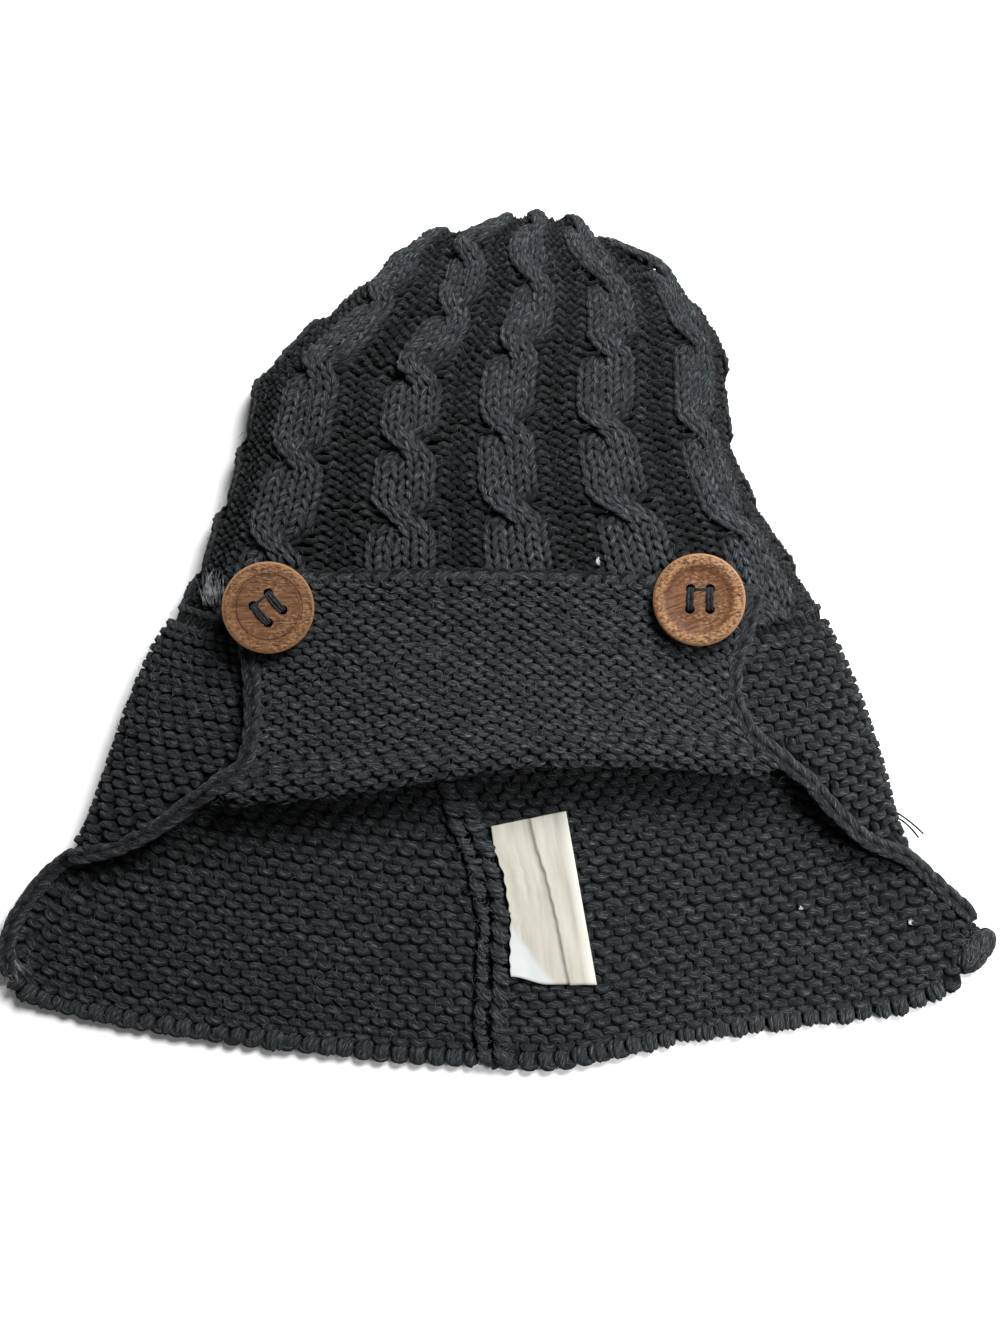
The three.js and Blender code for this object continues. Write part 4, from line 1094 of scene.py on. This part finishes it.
sew("thread_left", LEFT_HOLES, LEFT_FACE, LEFT_BUTTON, "thread")
sew("thread_right", RIGHT_HOLES, RIGHT_FACE, RIGHT_BUTTON, "thread")


# Loose fibres
# Cotton fibres a tenth of a millimetre thick that stand off the yarn on the sides facing up,
# with a pale tuft beside the left button, a few specks of lint and two long dark ends on
# the right ear flap.
FIBRE_RADIUS, FIBRE_LONG, FIBRE_BEND, FIBRE_RISE = 0.048, (1.3, 3.4), 1.6, 1.4
LOOSE_END_RADIUS = 0.30
TUFT_X, TUFT_Y = np.array([-81.0]), np.array([13.5])
LINT = ((26.8, 21.6, 43.4, 1.9), (120.0, -82.0, 9.2, 1.7), (88.0, -78.0, 8.6, 0.9))


def flecked(name, scale, dark, pale, **constants):
    finish = Finish(name, **constants)
    fleck = finish.noise(finish.place(), scale, 1.0).between(0.35, 0.65)
    finish.link("Base Color", finish.colour(fleck, dark, pale))
    return finish.material


fibre_cotton = flecked("fibres", 260.0, (0.035, 0.040, 0.043, 1), (0.17, 0.18, 0.19, 1),
                       Roughness=0.9, Specular_IOR_Level=0.1)
tuft_cotton = flecked("tuft_fibres", 600.0, (0.045, 0.050, 0.053, 1), (0.20, 0.21, 0.215, 1),
                      Roughness=0.95, Specular_IOR_Level=0.05)
lint_cotton = Finish("lint_fibres", Roughness=0.95, Specular_IOR_Level=0.05,
                     Base_Color=(0.45, 0.45, 0.44, 1)).material


def fibre(skein, spot, normal, length, bend, rise):
    along = unit(np.cross(normal, random.normal(0, 1, 3)))
    side = np.cross(normal, along)
    t = np.linspace(-0.5, 0.5, 3)
    path = (spot + np.outer(t * length, along) + np.outer((t * t - 0.1) * bend, side)
            + np.outer(rise * (0.3 + t), normal))
    skein.add(path, normal, FIBRE_RADIUS * (1 - 0.5 * np.abs(2 * t)))


def scatter(name, cloth, count, across, along, reach, shown, nodes, slot):
    """Fibres over the spots of one cloth that shown picks, on the side of the ways it gives."""
    skein = Skein(3)
    spots, ways = shown(*cloth.at(random.uniform(*across, count), random.uniform(*along, count)))
    for spot, way in zip(spots, ways):
        fibre(skein, spot + way * random.uniform(*reach), way, random.uniform(*FIBRE_LONG),
              random.normal(0, FIBRE_BEND), random.uniform(0.0, FIBRE_RISE))
    skein.knit(name, fibre_cotton, nodes, slot)


def off_label(x, y):
    return (y > -46) | (y < -104) | (x < -6) | (x > 31)


def upper_crown(spots, normals):
    shown = normals[:, 2] > -0.3
    return spots[shown], normals[shown]


def top_of_garter(spots, normals):
    """The upper side of the band, clear of the label and of the free edge."""
    back = spots[:, 2] < 7.5
    shown = edge_distance(spots, np.where(back, 270.0, 90.0)) > 2.0
    shown &= off_label(spots[:, 0], spots[:, 1]) | ~back
    return spots[shown], (normals * np.sign(normals[:, 2:]))[shown]


def tuft(skein, spot, way, count, length, spread, radius=0.09):
    """A little bunch of fibres that lean the same way."""
    side = np.cross(sky, way)
    for _ in range(count):
        a, b, lean, curl = random.normal(0, 1, 4)
        t = np.linspace(-0.5, 0.5, 6)
        path = (spot + side * (a * spread) + way * (b * spread * 0.7)
                + np.outer(t * length * (1 + 0.2 * b), unit(way + side * 0.22 * lean))
                + np.outer((t * t - 0.1) * 2.4 * curl, side)
                + np.outer(0.5 * np.cos(3 * t) + 0.3 * abs(lean), sky))
        skein.add(path, sky, radius * (1 - 0.6 * np.abs(2 * t) ** 2))


skein = Skein(4)
spot = front_point(TUFT_X, TUFT_Y, CROWN_WALL)[0] + front_normal(TUFT_X, TUFT_Y)[0] * 2.6
tuft(skein, spot, np.array([0.0, 1.0, 0.0]), 46, 8.0, 1.3)
tuft(skein, np.array([-143.6, -94.6, 7.8]), unit(np.array([0.35, -1.0, 0.0])), 55, 8.5, 1.7)
for _ in range(160):
    spot = np.array([np.interp(random.uniform(0, 1), np.linspace(0, 1, 4), NUB[:, k]) for k in range(3)])
    out = unit(random.normal(0, 1, 3) + sky)
    fibre(skein, spot + out * 4.0, out, random.uniform(1.2, 2.8), random.normal(0, 1.5), 0.6)
skein.knit("tufts", tuft_cotton, ["skirt"], "garter_knit")

skein = Skein(5)
t = np.linspace(0, 1, 12)
for shift, curl in ((0.0, 1.1), (1.4, 0.6)):
    path = np.stack([116.5 + 6.8 * t + shift * t,
                     -51.5 - 6.8 * t + shift + curl * np.sin(2.6 * t), 5.0 + 0 * t], -1)
    skein.add(path, sky, LOOSE_END_RADIUS)
skein.knit("loose_ends", shade, ["skirt"], "garter_knit")

skein = Skein(3)
for y in random.uniform(-123, -40, 700):
    middle = np.interp(y, SEAM_Y, SEAM_X)
    x = middle + random.choice([-2.7, 2.3]) + random.normal(0, 1.2)
    if off_label(x, y) or x < middle + 3.5:
        spot = np.array([x, y, float(back_top(x, y)) + random.uniform(2.4, 4.0)])
        fibre(skein, spot, sky, random.uniform(1.2, 3.2), random.normal(0, 1.8), random.uniform(0.0, 1.2))
skein.knit("seam_fibres", fibre_cotton, ["back_seam"], "seam_knit")

skein = Skein(4)
for x, y, z, length in LINT:
    tuft(skein, np.array([x, y, z]), unit(np.array([0.15, 1.0, 0.0])), 7, length, 0.16, 0.11)
skein.knit("lint", lint_cotton, ["skirt"], "garter_knit")

scatter("crown_fibres", crown_cloth, 1500, (44, 91), (6, CROWN_ROWS), (2.0, 3.2),
        upper_crown, ["crown"], "crown_knit")
scatter("flap_fibres", flap_cloth, 1700, (0.5, FLAP_STITCHES - 0.5), (-2, FLAP_ROWS), (2.1, 2.9),
        lambda spots, normals: (spots, normals), ["front_flap"], "flap_knit")
scatter("garter_fibres", garter, 4800, (-38, 38), (0, GARTER_ROWS), (2.4, 3.1),
        top_of_garter, ["skirt"], "garter_knit")


# Stage
# Plain pale table top, a soft round lamp high behind the crown, and a narrower beam from
# the right, as from a window.
KEY_SPOT, KEY_AIM, KEY_POWER = (0.22, 0.35, 0.69), (0, 0, 0.01), 12.0
WINDOW_SPOT, WINDOW_AIM, WINDOW_POWER = (0.40, -0.02, 0.80), (0.095, -0.075, 0.01), 26.0
CAMERA_SPOT, CAMERA_LENS = (0.0, -0.0073, 0.6), 54.55

floor_shape = bmesh.new()
bmesh.ops.create_grid(floor_shape, x_segments=1, y_segments=1, size=4.0)
floor = finished(floor_shape, "floor")
floor.materials.append(Finish("floor", Roughness=0.9, Specular_IOR_Level=0.1,
                              Base_Color=(0.94, 0.94, 0.94, 1)).material)
stand("floor", floor)

world = bpy.data.worlds.new("studio")
bpy.context.scene.world = world
world.use_nodes = True
world.node_tree.nodes["Background"].inputs[0].default_value = (1, 1, 1, 1)
world.node_tree.nodes["Background"].inputs[1].default_value = 0.16


def lamp(name, kind, spot, aim, power, **settings):
    light = bpy.data.lights.new(name, kind)
    light.energy = power
    for key, value in settings.items():
        setattr(light, key, value)
    holder = stand(name, light)
    holder.location = spot
    holder.rotation_euler = (Vector(spot) - Vector(aim)).to_track_quat("Z", "Y").to_euler()


lamp("key", "AREA", KEY_SPOT, KEY_AIM, KEY_POWER, shape="DISK", size=0.34)
lamp("window", "SPOT", WINDOW_SPOT, WINDOW_AIM, WINDOW_POWER,
     spot_size=math.radians(18), spot_blend=0.8, shadow_soft_size=0.08)

camera = bpy.data.cameras.new("camera")
camera.lens = CAMERA_LENS
camera.sensor_width = 36.0
camera.clip_start = 0.01
view = stand("camera", camera)
view.location = CAMERA_SPOT
bpy.context.scene.camera = view
bpy.context.scene.view_settings.view_transform = "Standard"
